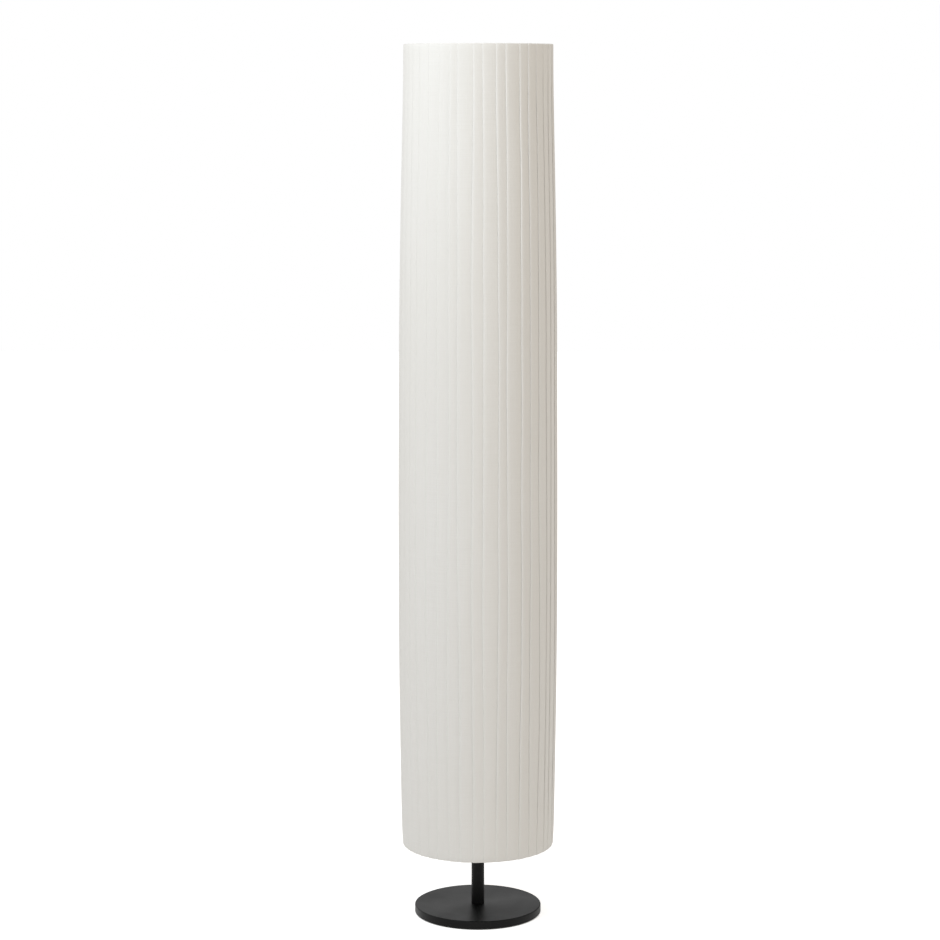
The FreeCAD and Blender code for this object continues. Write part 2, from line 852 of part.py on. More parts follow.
def draw_spoke(sketch, end_across, end_up):
    """A route from the hub outward: a short level run, a bend, and a straight rise to the ring."""
    level = float(S.hub_thickness) / 2
    start = Vector(float(S.spoke_start), level, 0)
    bend_start = start + Vector(float(S.spoke_flat), 0, 0)
    end = Vector(float(end_across), float(end_up), 0)
    bend = float(S.spoke_bend)
    centre = bend_start + Vector(0, bend, 0)
    away = end - centre
    tilt = math.atan2(away.y, away.x) - math.acos(bend / away.Length)
    bend_end = centre + Vector(math.cos(tilt), math.sin(tilt), 0) * bend
    flat = sketch.addGeometry(Part.LineSegment(start, bend_start))
    ring = Part.Circle(centre, Vector(0, 0, 1), bend)
    curve = sketch.addGeometry(Part.ArcOfCircle(ring, -math.pi / 2, tilt))
    rise = sketch.addGeometry(Part.LineSegment(bend_end, end))
    hold_point(sketch, flat, START_POINT, S.spoke_start, S.hub_thickness / 2)
    hold_point(sketch, flat, END_POINT, S.spoke_start + S.spoke_flat, S.hub_thickness / 2)
    sketch.addConstraint(Sketcher.Constraint("Tangent", flat, END_POINT, curve, START_POINT))
    sketch.addConstraint(Sketcher.Constraint("Tangent", curve, END_POINT, rise, START_POINT))
    held = sketch.addConstraint(Sketcher.Constraint("Radius", curve, bend))
    sketch.setExpression(f"Constraints[{held}]", S.spoke_bend.text)
    hold_point(sketch, rise, END_POINT, end_across, end_up)


def make_spider():
    """A drilled hub disc with wire spokes that rise to the top ring and are trimmed to it."""
    ring_up = S.rim_rise - RING_LEVEL
    body = tube("top_spider", S.hub_diameter, THREAD_HOLE, S.hub_thickness)
    route = sketch_on(body, "XZ_Plane", "route")
    draw_spoke(route, TOP_RING_RADIUS, ring_up)
    section = sketch_on(body, "YZ_Plane", "wire", lift=S.spoke_start)
    circle(section, S.spoke_wire, up=S.hub_thickness / 2)
    spoke = body.newObject("PartDesign::AdditivePipe", "top_spider_spoke")
    spoke.Profile = section
    spoke.Spine = (route, [])
    repeat_round(body, spoke, S.spoke_count)
    seat = sketch_on(body, "XZ_Plane", "seat")
    circle(seat, S.ring_wire + 2 * S.seat_gap, across=TOP_RING_RADIUS, up=ring_up)
    trim = body.newObject("PartDesign::Groove", "top_spider_trim")
    trim.Profile = seat
    trim.ReferenceAxis = (seat, ["V_Axis"])
    trim.Angle = FULL_TURN
    body.Tip = trim
    keep(place(body, up=POLE_TOP, turn=S.spoke_turn))


def liner_radius(height):
    """The liner's outer radius at a height above the shade's lower rim."""
    return LINER_BOTTOM_RADIUS + (LINER_TOP_RADIUS - LINER_BOTTOM_RADIUS) * height / S.shade_height


def make_liner():
    """The translucent sheet rolled into a slightly tapered tube between the rings and the cloth."""
    low = LINER_MARGIN
    high = S.shade_height - LINER_MARGIN
    liner = revolved("shade_liner", [
        (liner_radius(low) - S.liner_thickness, low),
        (liner_radius(low), low),
        (liner_radius(high), high),
        (liner_radius(high) - S.liner_thickness, high),
    ])
    keep(place(liner, up=SHADE_BOTTOM))


def make_liner_seam():
    """The tape over the liner's butt joint, inside at the back and between the rim tapes."""
    low = S.tape_height + S.ring_gap
    high = S.shade_height - S.tape_height - S.ring_gap
    face = S.liner_thickness + S.seam_gap
    seam = revolved("liner_seam", [
        (liner_radius(low) - face - S.seam_thickness, low),
        (liner_radius(low) - face, low),
        (liner_radius(high) - face, high),
        (liner_radius(high) - face - S.seam_thickness, high),
    ], angle=S.seam_angle)
    keep(place(seam, up=SHADE_BOTTOM, turn=REAR_SIDE))


def rim_tape(label, liner_edge, ring_radius, up):
    """A tape folded over a ring: a flange across the rim, and a wall down the ring's inner side."""
    inner = ring_radius - S.ring_wire / 2 - S.ring_gap - S.tape_thickness
    wall = inner + S.tape_thickness
    return revolved(label, [
        (inner, 0),
        (liner_edge, 0),
        (liner_edge, up * S.tape_thickness),
        (wall, up * S.tape_thickness),
        (wall, up * S.tape_height),
        (inner, up * S.tape_height),
    ])


def make_rim_tapes():
    bottom = rim_tape("bottom_rim_tape", LINER_BOTTOM_RADIUS, BOTTOM_RING_RADIUS, 1)
    keep(place(bottom, up=SHADE_BOTTOM))
    top = rim_tape("top_rim_tape", LINER_TOP_RADIUS, TOP_RING_RADIUS, -1)
    half_slot = S.spoke_wire / 2 + S.notch_margin
    inside = TOP_RING_RADIUS - 2 * S.ring_wire
    notch = sketch_on(top, "XY_Plane", "notch", lift=0 - S.tape_height)
    outline(notch, [
        (inside, 0 - half_slot),
        (TOP_RING_RADIUS, 0 - half_slot),
        (TOP_RING_RADIUS, half_slot),
        (inside, half_slot),
    ])
    slot = top.newObject("PartDesign::Pocket", "top_rim_tape_slot")
    slot.Profile = notch
    slot.Reversed = True
    bind(slot, Length=S.tape_height - S.tape_thickness)
    repeat_round(top, slot, S.spoke_count)
    keep(place(top, up=SHADE_TOP, turn=S.spoke_turn))


# ----------------------------------------------------------------------------------------------------
# Pleated cloth
# ----------------------------------------------------------------------------------------------------


def cloth_radius(height):
    """The fold edges' radius: the cloth is drawn in at both rims and fullest at the belly."""
    belly = float(S.belly_diameter) / 2
    belly_height = float(S.belly_height)
    if height > belly_height:
        rim = float(S.top_rim_diameter) / 2
        share = (height - belly_height) / (float(S.shade_height) - belly_height)
        return belly - (belly - rim) * share ** BELLY_POWER_ABOVE
    rim = float(S.bottom_rim_diameter) / 2
    share = (belly_height - height) / belly_height
    return belly - (belly - rim) * share ** BELLY_POWER_BELOW


def cloth_section(height):
    """One level of knife pleats, as the outer line of a folded sheet: each panel starts at a fold edge,
    runs inward under the next edge by the tuck, and turns back out to it."""
    radius = cloth_radius(height)
    room = radius - float(liner_radius(height)) - float(CLOTH_ALLOWANCE)
    depth = min(float(S.pleat_depth), room)
    tuck = float(S.pleat_tuck) * depth / float(S.pleat_depth) / radius
    count = int(S.pleat_count.number)
    pitch = 2 * math.pi / count
    points = []
    for number in range(count):
        edge = (number + 0.5) * pitch
        for distance, angle in ((radius, edge), (radius - depth, edge + pitch + tuck)):
            points.append(Vector(distance * math.cos(angle), distance * math.sin(angle), height))
    return points


def inset(points, thickness):
    """The line at one sheet thickness inside a closed counter-clockwise line, corner by corner."""
    corners = []
    for before, corner, after in zip(points[-1:] + points[:-1], points, points[1:] + points[:1]):
        arriving = (corner - before).normalize()
        leaving = (after - corner).normalize()
        inward_before = Vector(-arriving.y, arriving.x, 0)
        inward_after = Vector(-leaving.y, leaving.x, 0)
        share = thickness / (1 + inward_before.dot(inward_after))
        corners.append(corner + (inward_before + inward_after) * share)
    return corners


def make_pleated_cover():
    """The cloth: a thin closed shell, straight between levels that crowd towards the two rims."""
    height = float(S.shade_height)
    thickness = float(S.cloth_thickness)
    levels = [height * (1 - math.cos(math.pi * step / (CLOTH_LEVELS - 1))) / 2 for step in range(CLOTH_LEVELS)]
    outer_lines = []
    inner_lines = []
    for level in levels:
        points = cloth_section(level)
        inside = inset(points, thickness)
        outer_lines.append(Part.makePolygon(points + points[:1]))
        inner_lines.append(Part.makePolygon(inside + inside[:1]))
        spare = min(math.hypot(point.x, point.y) for point in inside) - float(liner_radius(level))
        print(f"cloth at {level:.0f}: fold edges at {cloth_radius(level):.2f}, {spare:.2f} clear of the liner")
    faces = Part.makeLoft(outer_lines, False, True).Faces
    faces += Part.makeLoft(inner_lines, False, True).Faces
    for end in (0, -1):
        faces += Part.makeFace([outer_lines[end], inner_lines[end]], "Part::FaceMakerBullseye").Faces
    shell = Part.Shell(faces)
    shell.sewShape()
    cover = doc.addObject("Part::Feature", "pleated_cover")
    cover.Label = "pleated_cover"
    cover.Shape = Part.Solid(shell)
    keep(place(cover, up=SHADE_BOTTOM))


# ----------------------------------------------------------------------------------------------------
# Washer and knob on top of the spider
# ----------------------------------------------------------------------------------------------------


def make_knob_washer():
    washer = tube("knob_washer", S.washer_diameter, THREAD_HOLE, S.washer_thickness)
    keep(place(washer, up=POLE_TOP + S.hub_thickness))


def make_knob_brass():
    thread = S.thread_diameter + 2 * S.brass_thread_gap
    keep(place(tube("knob_brass", S.brass_diameter, thread, S.brass_length), up=KNOB_BOTTOM))


def make_knob():
    """The knurled cap of the knob, with its blind hole around the brass thread."""
    outer = S.knob_diameter / 2
    hole = S.brass_diameter / 2 + S.seat_gap
    depth = S.brass_length + S.seat_gap
    knob = revolved("knob_grip", [
        (hole, 0),
        (outer, 0),
        (outer, S.knob_height),
        (0, S.knob_height),
        (0, depth),
        (hole, depth),
    ])
    dress_edge(knob, "Fillet", S.knob_round, outer, S.knob_height)
    knurl = sketch_on(knob, "XY_Plane", "knurl")
    circle(knurl, S.knurl_diameter, across=outer)
    repeat_round(knob, cut_through(knob, knurl, "knurl_cut"), S.knurl_count)
    keep(place(knob, up=KNOB_BOTTOM))


# ----------------------------------------------------------------------------------------------------
# Assembly, checks and export
# ----------------------------------------------------------------------------------------------------


def make_lamp():
    make_base_plate()
    make_base_pad()
    make_base_fixings()
    make_pole()
    make_pole_inserts()
    make_joint_nipples()
    make_top_stud()
    make_grommet("inlet_grommet", S.inlet_bore, INLET_LEVEL, REAR_SIDE)
    make_grommet("lower_outlet_grommet", S.outlet_bore, LOWER_OUTLET_LEVEL, LOWER_SIDE)
    make_grommet("upper_outlet_grommet", S.outlet_bore, UPPER_OUTLET_LEVEL, UPPER_SIDE)
    make_arm("lower_arm", LOWER_ARM_BOTTOM, LOWER_SIDE)
    make_arm("upper_arm", UPPER_ARM_BOTTOM, UPPER_SIDE)
    make_holder_fixings()
    make_leads()
    for name, across, seat in holder_places():
        make_holder(name, across, seat)
        make_bulb(name, across, seat)
    make_ring("top_ring", TOP_RING_RADIUS, SHADE_TOP - RING_LEVEL)
    make_ring("bottom_ring", BOTTOM_RING_RADIUS, SHADE_BOTTOM + RING_LEVEL)
    make_spider()
    make_liner()
    make_liner_seam()
    make_rim_tapes()
    make_pleated_cover()
    make_knob_washer()
    make_knob_brass()
    make_knob()
    doc.recompute()


def check_lamp():
    for item in doc.Objects:
        faults = [state for state in item.State if state in ("Invalid", "Error")]
        if faults:
            raise RuntimeError(f"{item.Label} did not compute: {faults}")
    for node in NODES:
        if node.Shape.isNull() or not node.Shape.isValid():
            raise RuntimeError(f"{node.Label} has no valid shape")
        if not node.Shape.Solids:
            raise RuntimeError(f"{node.Label} is not solid")


def export_lamp():
    os.makedirs("parts", exist_ok=True)
    for node in NODES:
        node.Shape.exportStep(f"parts/{node.Label}.step")


make_lamp()
check_lamp()
export_lamp()
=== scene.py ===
import math

import bmesh
import bpy
import numpy as np
from mathutils import Matrix, Vector, noise


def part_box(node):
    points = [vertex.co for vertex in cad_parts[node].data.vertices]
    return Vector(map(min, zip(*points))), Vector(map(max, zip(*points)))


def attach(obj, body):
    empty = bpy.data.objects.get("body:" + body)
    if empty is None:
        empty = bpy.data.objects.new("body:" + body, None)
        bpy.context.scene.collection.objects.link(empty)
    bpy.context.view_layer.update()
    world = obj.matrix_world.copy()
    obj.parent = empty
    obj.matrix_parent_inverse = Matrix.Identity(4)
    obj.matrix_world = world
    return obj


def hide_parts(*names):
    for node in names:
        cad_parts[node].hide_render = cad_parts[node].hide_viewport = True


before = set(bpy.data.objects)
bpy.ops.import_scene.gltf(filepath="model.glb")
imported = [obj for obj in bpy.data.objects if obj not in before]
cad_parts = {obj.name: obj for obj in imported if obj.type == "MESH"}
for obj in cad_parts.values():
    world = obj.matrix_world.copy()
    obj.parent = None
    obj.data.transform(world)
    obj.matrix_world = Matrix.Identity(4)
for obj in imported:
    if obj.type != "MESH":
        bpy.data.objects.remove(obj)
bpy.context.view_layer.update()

bl_info = {
    "name": "Pleated column floor lamp",
    "version": (1, 0, 0),
    "blender": (4, 5, 0),
    "location": "3D View > Sidebar > Floor lamp",
    "description": "Dresses the solids of a floor lamp with a pleated cloth column shade",
    "category": "Object",
}

MILLIMETRE = 0.001
FULL_TURN = 2 * math.pi
RIGHT_ANGLE = math.pi / 2
SAME_PLACE = 1e-7
NEARLY_SAME_PLACE = 1e-6
PHOTO_SIDE = 940
SENSOR_WIDTH = 36.0
HOLDERS = ("lower", "upper")


# ----------------------------------------------------------------------------------------------------
# What the solids say
# ----------------------------------------------------------------------------------------------------


def fold_edge_curve(degree=6):
    """Smooth radius of the cover's fold edges over height, through the levels of its solid."""
    reach = {}
    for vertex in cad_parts["pleated_cover"].data.vertices:
        level = round(vertex.co.z, 4)
        reach[level] = max(reach.get(level, 0.0), vertex.co.xy.length)
    heights = np.array(sorted(reach))
    radii = np.array([reach[level] for level in heights])
    middle = (heights[0] + heights[-1]) / 2
    half = (heights[-1] - heights[0]) / 2
    series = np.polynomial.Polynomial.fit((heights - middle) / half, radii, degree)
    return lambda height: float(series((height - middle) / half))


def ring_wire(node):
    """Centre radius, centre height and wire radius of one of the shade's rings."""
    low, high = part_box(node)
    wire = (high.z - low.z) / 2
    return high.x - wire, (high.z + low.z) / 2, wire


FOLD_EDGE = fold_edge_curve()
SHADE_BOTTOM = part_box("pleated_cover")[0].z
SHADE_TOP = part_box("pleated_cover")[1].z


# ----------------------------------------------------------------------------------------------------
# Sizes and colours that a user may change
# ----------------------------------------------------------------------------------------------------


def length(name, description, default):
    return bpy.props.FloatProperty(
        name=name, description=description, default=default, subtype="DISTANCE", unit="LENGTH", precision=5
    )


def share(name, description, default):
    return bpy.props.FloatProperty(name=name, description=description, default=default, subtype="FACTOR")


def angle(name, description, degrees):
    return bpy.props.FloatProperty(
        name=name, description=description, default=math.radians(degrees), subtype="ANGLE"
    )


def power(name, description, default):
    return bpy.props.FloatProperty(name=name, description=description, default=default, unit="POWER")


def count(name, description, default):
    return bpy.props.IntProperty(name=name, description=description, default=default)


def place(name, description, default):
    return bpy.props.FloatVectorProperty(
        name=name, description=description, default=default, subtype="XYZ"
    )


def colour(name, description, default):
    return bpy.props.FloatVectorProperty(
        name=name, description=description, default=default, size=3, subtype="COLOR", min=0.0, max=1.0
    )


class ClothSizes(bpy.types.PropertyGroup):
    pleats: count("Pleats", "Knife pleats round the shade", 40)
    depth: length("Fold depth", "How far a fold edge stands over the valley beneath it", 0.0020)
    rim_depth: length("Fold depth at the rims", "The same where the pleats are pressed flat", 0.0008)
    fullness: length("Fullness", "How far the cloth swells out over the lower ring", 0.0009)
    swell: length("Swell height", "Height over the lower rim where the cloth swells out most", 0.05)
    hem_depth: length("Fold depth in the hems", "The same where the hems turn over the rings", 0.0005)
    easing: length("Easing", "Height over which the pressed pleats open", 0.09)
    underlay: share("Underlay", "Cloth tucked under each fold edge, as a share of the pitch", 0.19)
    bow: share("Bow", "How far a panel rounds outward, as a share of the fold depth", 0.26)
    thickness: length("Cloth thickness", "Thickness of one layer", 0.00022)
    hem: length("Hem", "Cloth turned down behind each ring", 0.009)
    hem_clear: length("Hem clearance", "From a ring to the hem that passes over it", 0.0008)
    rows: count("Rows", "Rows of faces between the two rims", 72)
    drift: share("Drift", "How unevenly the fold edges are spaced, as a share of the pitch", 0.24)
    sway: share("Sway", "How much a fold edge wanders on its way up, as a share of the pitch", 0.17)
    flutter: share("Flutter", "A quicker wander on top, as a share of the sway", 0.25)
    unevenness: share("Unevenness", "How much a fold's depth changes slowly on its way up", 0.28)
    ripple: share("Ripple", "How much a fold's depth changes quickly on its way up", 0.10)
    cut_width: length("Cut width", "Flat width of the cloth before it was pleated", 0.98)
    cut_length: length("Cut length", "Flat length of the cloth with both hems", 1.13)


class TapeSizes(bpy.types.PropertyGroup):
    thickness: length("Tape thickness", "Thickness of the woven rim tape", 0.0003)
    wall: length("Tape wall", "Tape on the inner side of a ring", 0.0138)
    fold: length("Tape fold", "Radius at which the tape bends over the hem", 0.0030)
    reach: angle("Tape reach", "How far the tape bends over the hem", 56)
    notch: length("Notch", "Half the width of the notch round each spoke", 0.0026)
    steps: count("Steps", "Faces round the rim", 240)


class ThreadSizes(bpy.types.PropertyGroup):
    bulb_pitch: length("Bulb thread pitch", "Rise of the bulb for one turn", 0.00363)
    bulb_depth: length("Bulb thread depth", "Depth of the rolled thread", 0.0010)
    rod_pitch: length("Rod thread pitch", "Rise of a nut on the lamp rod for one turn", 0.0010)
    rod_depth: length("Rod thread depth", "Depth of the cut thread", 0.0006)
    rod_bore: length("Rod bore", "The hole through the lamp rod", 0.0076)
    nut_bore: length("Nut bore", "The hole through a nut on the lamp rod", 0.0101)


class LampColours(bpy.types.PropertyGroup):
    cloth: colour("Cloth", "White pleated cloth", (0.86, 0.85, 0.83))
    tape: colour("Tape", "Woven rim tape", (0.80, 0.79, 0.75))
    film: colour("Liner film", "Milky sheet inside the cloth", (0.78, 0.78, 0.75))
    black_coat: colour("Black coat", "Black powder coat of the foot and pole", (0.0026, 0.0026, 0.0026))
    white_coat: colour("White coat", "White coat of the shade's wire", (0.74, 0.74, 0.72))
    zinc: colour("Zinc", "Zinc-plated steel", (0.56, 0.57, 0.59))
    brass: colour("Brass", "Plain brass", (0.74, 0.55, 0.24))
    aluminium: colour("Aluminium", "Bulb caps", (0.70, 0.71, 0.72))
    black_plastic: colour("Black plastic", "Moulded holders and knob", (0.012, 0.012, 0.013))
    white_plastic: colour("White plastic", "Bulb housings", (0.76, 0.76, 0.74))
    ceramic: colour("Ceramic", "Glazed inserts of the holders", (0.78, 0.77, 0.72))
    opal: colour("Opal", "Bulb globes", (0.86, 0.86, 0.84))
    rubber: colour("Rubber", "Foot pad and grommets", (0.018, 0.018, 0.018))
    lead: colour("Lead", "Insulation of the leads", (0.014, 0.014, 0.015))


class StageSettings(bpy.types.PropertyGroup):
    camera_height: length("Camera height", "Height of the lens over the floor", 1.15)
    camera_distance: length("Camera distance", "Distance of the lens from the pole, along the floor", 3.6942)
    camera_aside: length("Camera aside", "How far the lens stands to the left of the pole", 0.0110)
    camera_pitch: angle("Camera pitch", "How far the camera looks down", 8.102)
    focal_pixels: bpy.props.FloatProperty(
        name="Focal length", description="Focal length in pixels of the picture", default=2724.8
    )
    key_place: place("Key place", "Where the large soft lamp stands", (-0.92, -0.92, 1.9))
    key_aim: length("Key aim", "Height on the pole that the large soft lamp looks at", 0.8)
    key_power: power("Key power", "Power of the large soft lamp", 13.9)
    key_tint: colour("Key tint", "Colour of the large soft lamp", (0.91, 0.965, 1.0))
    fill_place: place("Fill place", "Where the warm fill lamp stands", (1.6, -0.95, 1.75))
    fill_aim: length("Fill aim", "Height on the pole that the warm fill lamp looks at", 0.6)
    fill_power: power("Fill power", "Power of the warm fill lamp", 4.3)
    fill_tint: colour("Fill tint", "Colour of the warm fill lamp", (1.0, 0.80, 0.54))
    lamp_width: length("Lamp width", "Side of the two square lamps", 0.7)
    room: share("Room light", "Strength of the even light of the room", 0.56)
    room_tint: colour("Room tint", "Colour of the light of the room", (1.0, 0.97, 0.93))
    glow: share("Floor glow", "How much the floor brightens its own picture", 0.66)
    # The foot gap sets the painted contact shadow under the foot's edge.
    foot_gap: length("Foot gap", "How far inside the foot's edge the floor's glow has gone", 0.002)
    floor_grey: share("Floor grey", "Brightness of the floor itself", 0.9)
    floor_side: length("Floor side", "Side of the floor", 16.0)


# ----------------------------------------------------------------------------------------------------
# Meshes
# ----------------------------------------------------------------------------------------------------


def add_object(name, mesh, material):
    """Turns a finished bmesh into an object of one material."""
    data = bpy.data.meshes.new(name)
    mesh.to_mesh(data)
    mesh.free()
    data.materials.append(material)
    thing = bpy.data.objects.new(name, data)
    bpy.context.scene.collection.objects.link(thing)
    return thing


def add_piece(name, mesh, body, material, replaced):
    """Adds a piece that rides on a body and stands for the named nodes."""
    piece = add_object(name, mesh, material)
    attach(piece, body)
    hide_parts(*replaced)
    return piece


def shade_smoothly(mesh, sharpest=math.radians(38)):
    """Smooth faces with the hard corners kept."""
    for face in mesh.faces:
        face.smooth = True
    for edge in mesh.edges:
        edge.smooth = len(edge.link_faces) != 2 or edge.calc_face_angle(0.0) < sharpest


def thicken(piece, thickness):
    """Gives a sheet its thickness, half of it to each side."""
    solid = piece.modifiers.new("thickness", "SOLIDIFY")
    solid.thickness = thickness
    solid.offset = 0.0


def open_edges(mesh):
    """The edges with a face on one side only."""
    return [edge for edge in mesh.edges if edge.is_boundary]


def open_rim(mesh, height, reach):
    """The open edges that lie within a reach of a height."""
    return [
        edge
        for edge in open_edges(mesh)
        if abs((edge.verts[0].co.z + edge.verts[1].co.z) / 2 - height) < reach
    ]


def add_circle(mesh, radius, height, sides):
    """Adds a level circle round the Z axis and returns its edges."""
    made = bmesh.ops.create_circle(
        mesh, radius=radius, segments=sides, matrix=Matrix.Translation((0, 0, height))
    )
    return list({edge for vertex in made["verts"] for edge in vertex.link_edges})


def add_line(mesh, points):
    """A chain of edges in the XZ plane through (radius, height) points."""
    corners = [mesh.verts.new((radius, 0.0, height)) for radius, height in points]
    for first, second in zip(corners, corners[1:]):
        mesh.edges.new((first, second))
    return corners


def spin_line(mesh, steps, rise=0.0):
    """Turns all the lines in a mesh once round the Z axis, and closes the turn if nothing rises."""
    bmesh.ops.spin(
        mesh,
        geom=mesh.verts[:] + mesh.edges[:],
        cent=(0, 0, 0),
        axis=(0, 0, 1),
        dvec=(0, 0, rise / steps),
        angle=FULL_TURN,
        steps=steps,
        use_merge=rise == 0.0,
    )


def turned(points, steps):
    """A bmesh turned from a line of (radius, height) points, closed where the line is."""
    mesh = bmesh.new()
    corners = add_line(mesh, points)
    if points[0] == points[-1]:
        bmesh.ops.remove_doubles(mesh, verts=corners, dist=SAME_PLACE)
    spin_line(mesh, steps)
    bmesh.ops.remove_doubles(mesh, verts=mesh.verts[:], dist=SAME_PLACE)
    bmesh.ops.recalc_face_normals(mesh, faces=mesh.faces[:])
    return mesh


def move_mesh(mesh, across, forward, up=0.0):
    """Moves a whole mesh from the origin to its place."""
    bmesh.ops.translate(mesh, verts=mesh.verts[:], vec=(across, forward, up))


# ----------------------------------------------------------------------------------------------------
# Pleated cloth
# ----------------------------------------------------------------------------------------------------


def eased(value):
    """Goes smoothly from 0 to 1."""
    value = min(max(value, 0.0), 1.0)
    return value * value * (3 - 2 * value)


def swelling(value):
    """0 at 0, 1 at 1, and slowly down to 0 again."""
    return value * math.exp(1 - value)


def pleat_line(underlay, bow):
    """One knife pleat as (share of the pitch, share of the depth): a round fold edge, a bowed panel,
    and a round valley fold tucked under the next edge."""
    end = 1 + underlay
    points = [(0.0, 0.48), (-0.008, 0.78), (0.03, 1.0)]
    for along in (0.17, 0.34, 0.52, 0.70, 0.86):
        points.append((along * end, 1 - along + bow * 4 * along * (1 - along)))
    points += [(end - 0.03, 0.0), (end, 0.10), (end - 0.03, 0.20), (1 + underlay * 0.35, 0.33)]
    return points


def pleat_noise(pleat, height, stride, offset, pace):
    """Smooth noise from -1 to 1 that belongs to one pleat and changes with height."""
    return noise.noise(Vector((pleat * stride + 0.5, offset, height * pace)))


def wander(pleat, height, sizes):
    """How far a fold edge strays from its even place, as a share of the pitch."""
    drift = pleat_noise(pleat, height, stride=5.37, offset=3.3, pace=0.6)
    sway = pleat_noise(pleat, height, stride=2.71, offset=17.7, pace=3.1)
    flutter = pleat_noise(pleat, height, stride=4.13, offset=29.1, pace=9.0)
    return sizes.drift * drift + sizes.sway * (sway + sizes.flutter * flutter)


def standing(pleat, height, sizes):
    """How much one pleat stands up or lies down, round 1."""
    slow = pleat_noise(pleat, height, stride=3.91, offset=41.9, pace=2.2)
    quick = pleat_noise(pleat, height, stride=1.77, offset=53.3, pace=7.0)
    return 1 + sizes.unevenness * slow + sizes.ripple * quick


class Station:
    """One level of the cloth on its way from the lower hem, up the shade, to the upper hem."""

    def __init__(self, radius, height, facing, depth):
        self.radius = radius
        self.height = height
        self.facing = facing
        self.depth = depth


def hem_stations(node, upward, base_radius, sizes):
    """The way from behind a ring, round it, to the outer side of the rim."""
    ring_radius, ring_height, wire = ring_wire(node)
    inner_bend = 1.9 * MILLIMETRE
    outer_bend = 0.8 * MILLIMETRE
    tail_steps, inner_steps, outer_steps = 4, 3, 4
    edge = ring_height + upward * (wire + sizes.hem_clear)
    inner = ring_radius - wire - sizes.thickness
    inner_centre = Vector((inner + inner_bend, edge - upward * inner_bend))
    outer_centre = Vector((base_radius - outer_bend, edge - upward * outer_bend))
    bend_start = edge - upward * inner_bend
    tail = bend_start - upward * sizes.hem
    stations = []
    for step in range(tail_steps):
        level = tail + (bend_start - tail) * step / tail_steps
        stations.append(Station(inner, level, Vector((-1, 0)), sizes.hem_depth))
    for step in range(inner_steps + 1):
        turn = RIGHT_ANGLE * step / inner_steps
        facing = Vector((-math.cos(turn), upward * math.sin(turn)))
        spot = inner_centre + facing * inner_bend
        stations.append(Station(spot.x, spot.y, facing, sizes.hem_depth))
    for step in range(outer_steps + 1):
        turn = RIGHT_ANGLE * step / outer_steps
        facing = Vector((math.sin(turn), upward * math.cos(turn)))
        spot = outer_centre + facing * outer_bend
        depth = sizes.hem_depth + (sizes.rim_depth - sizes.hem_depth) * step / outer_steps
        stations.append(Station(spot.x, spot.y, facing, depth))
    return stations


def cloth_stations(sizes):
    """All levels of the cloth, crowded where it turns over the rings."""
    crowding = 0.45
    lower = hem_stations("bottom_ring", -1, FOLD_EDGE(SHADE_BOTTOM) - sizes.rim_depth, sizes)
    upper = hem_stations("top_ring", 1, FOLD_EDGE(SHADE_TOP) - sizes.rim_depth, sizes)
    low, high = lower[-1].height, upper[-1].height
    body = []
    for row in range(1, sizes.rows):
        even = row / sizes.rows
        crowded = (1 - math.cos(math.pi * even)) / 2
        height = low + (high - low) * ((1 - crowding) * even + crowding * crowded)
        opening = eased(min(height - low, high - height) / sizes.easing)
        depth = sizes.rim_depth + (sizes.depth - sizes.rim_depth) * opening
        radius = FOLD_EDGE(height) + sizes.fullness * swelling((height - low) / sizes.swell)
        body.append(Station(radius - depth, height, Vector((1, 0)), depth))
    return lower + body + upper[::-1]


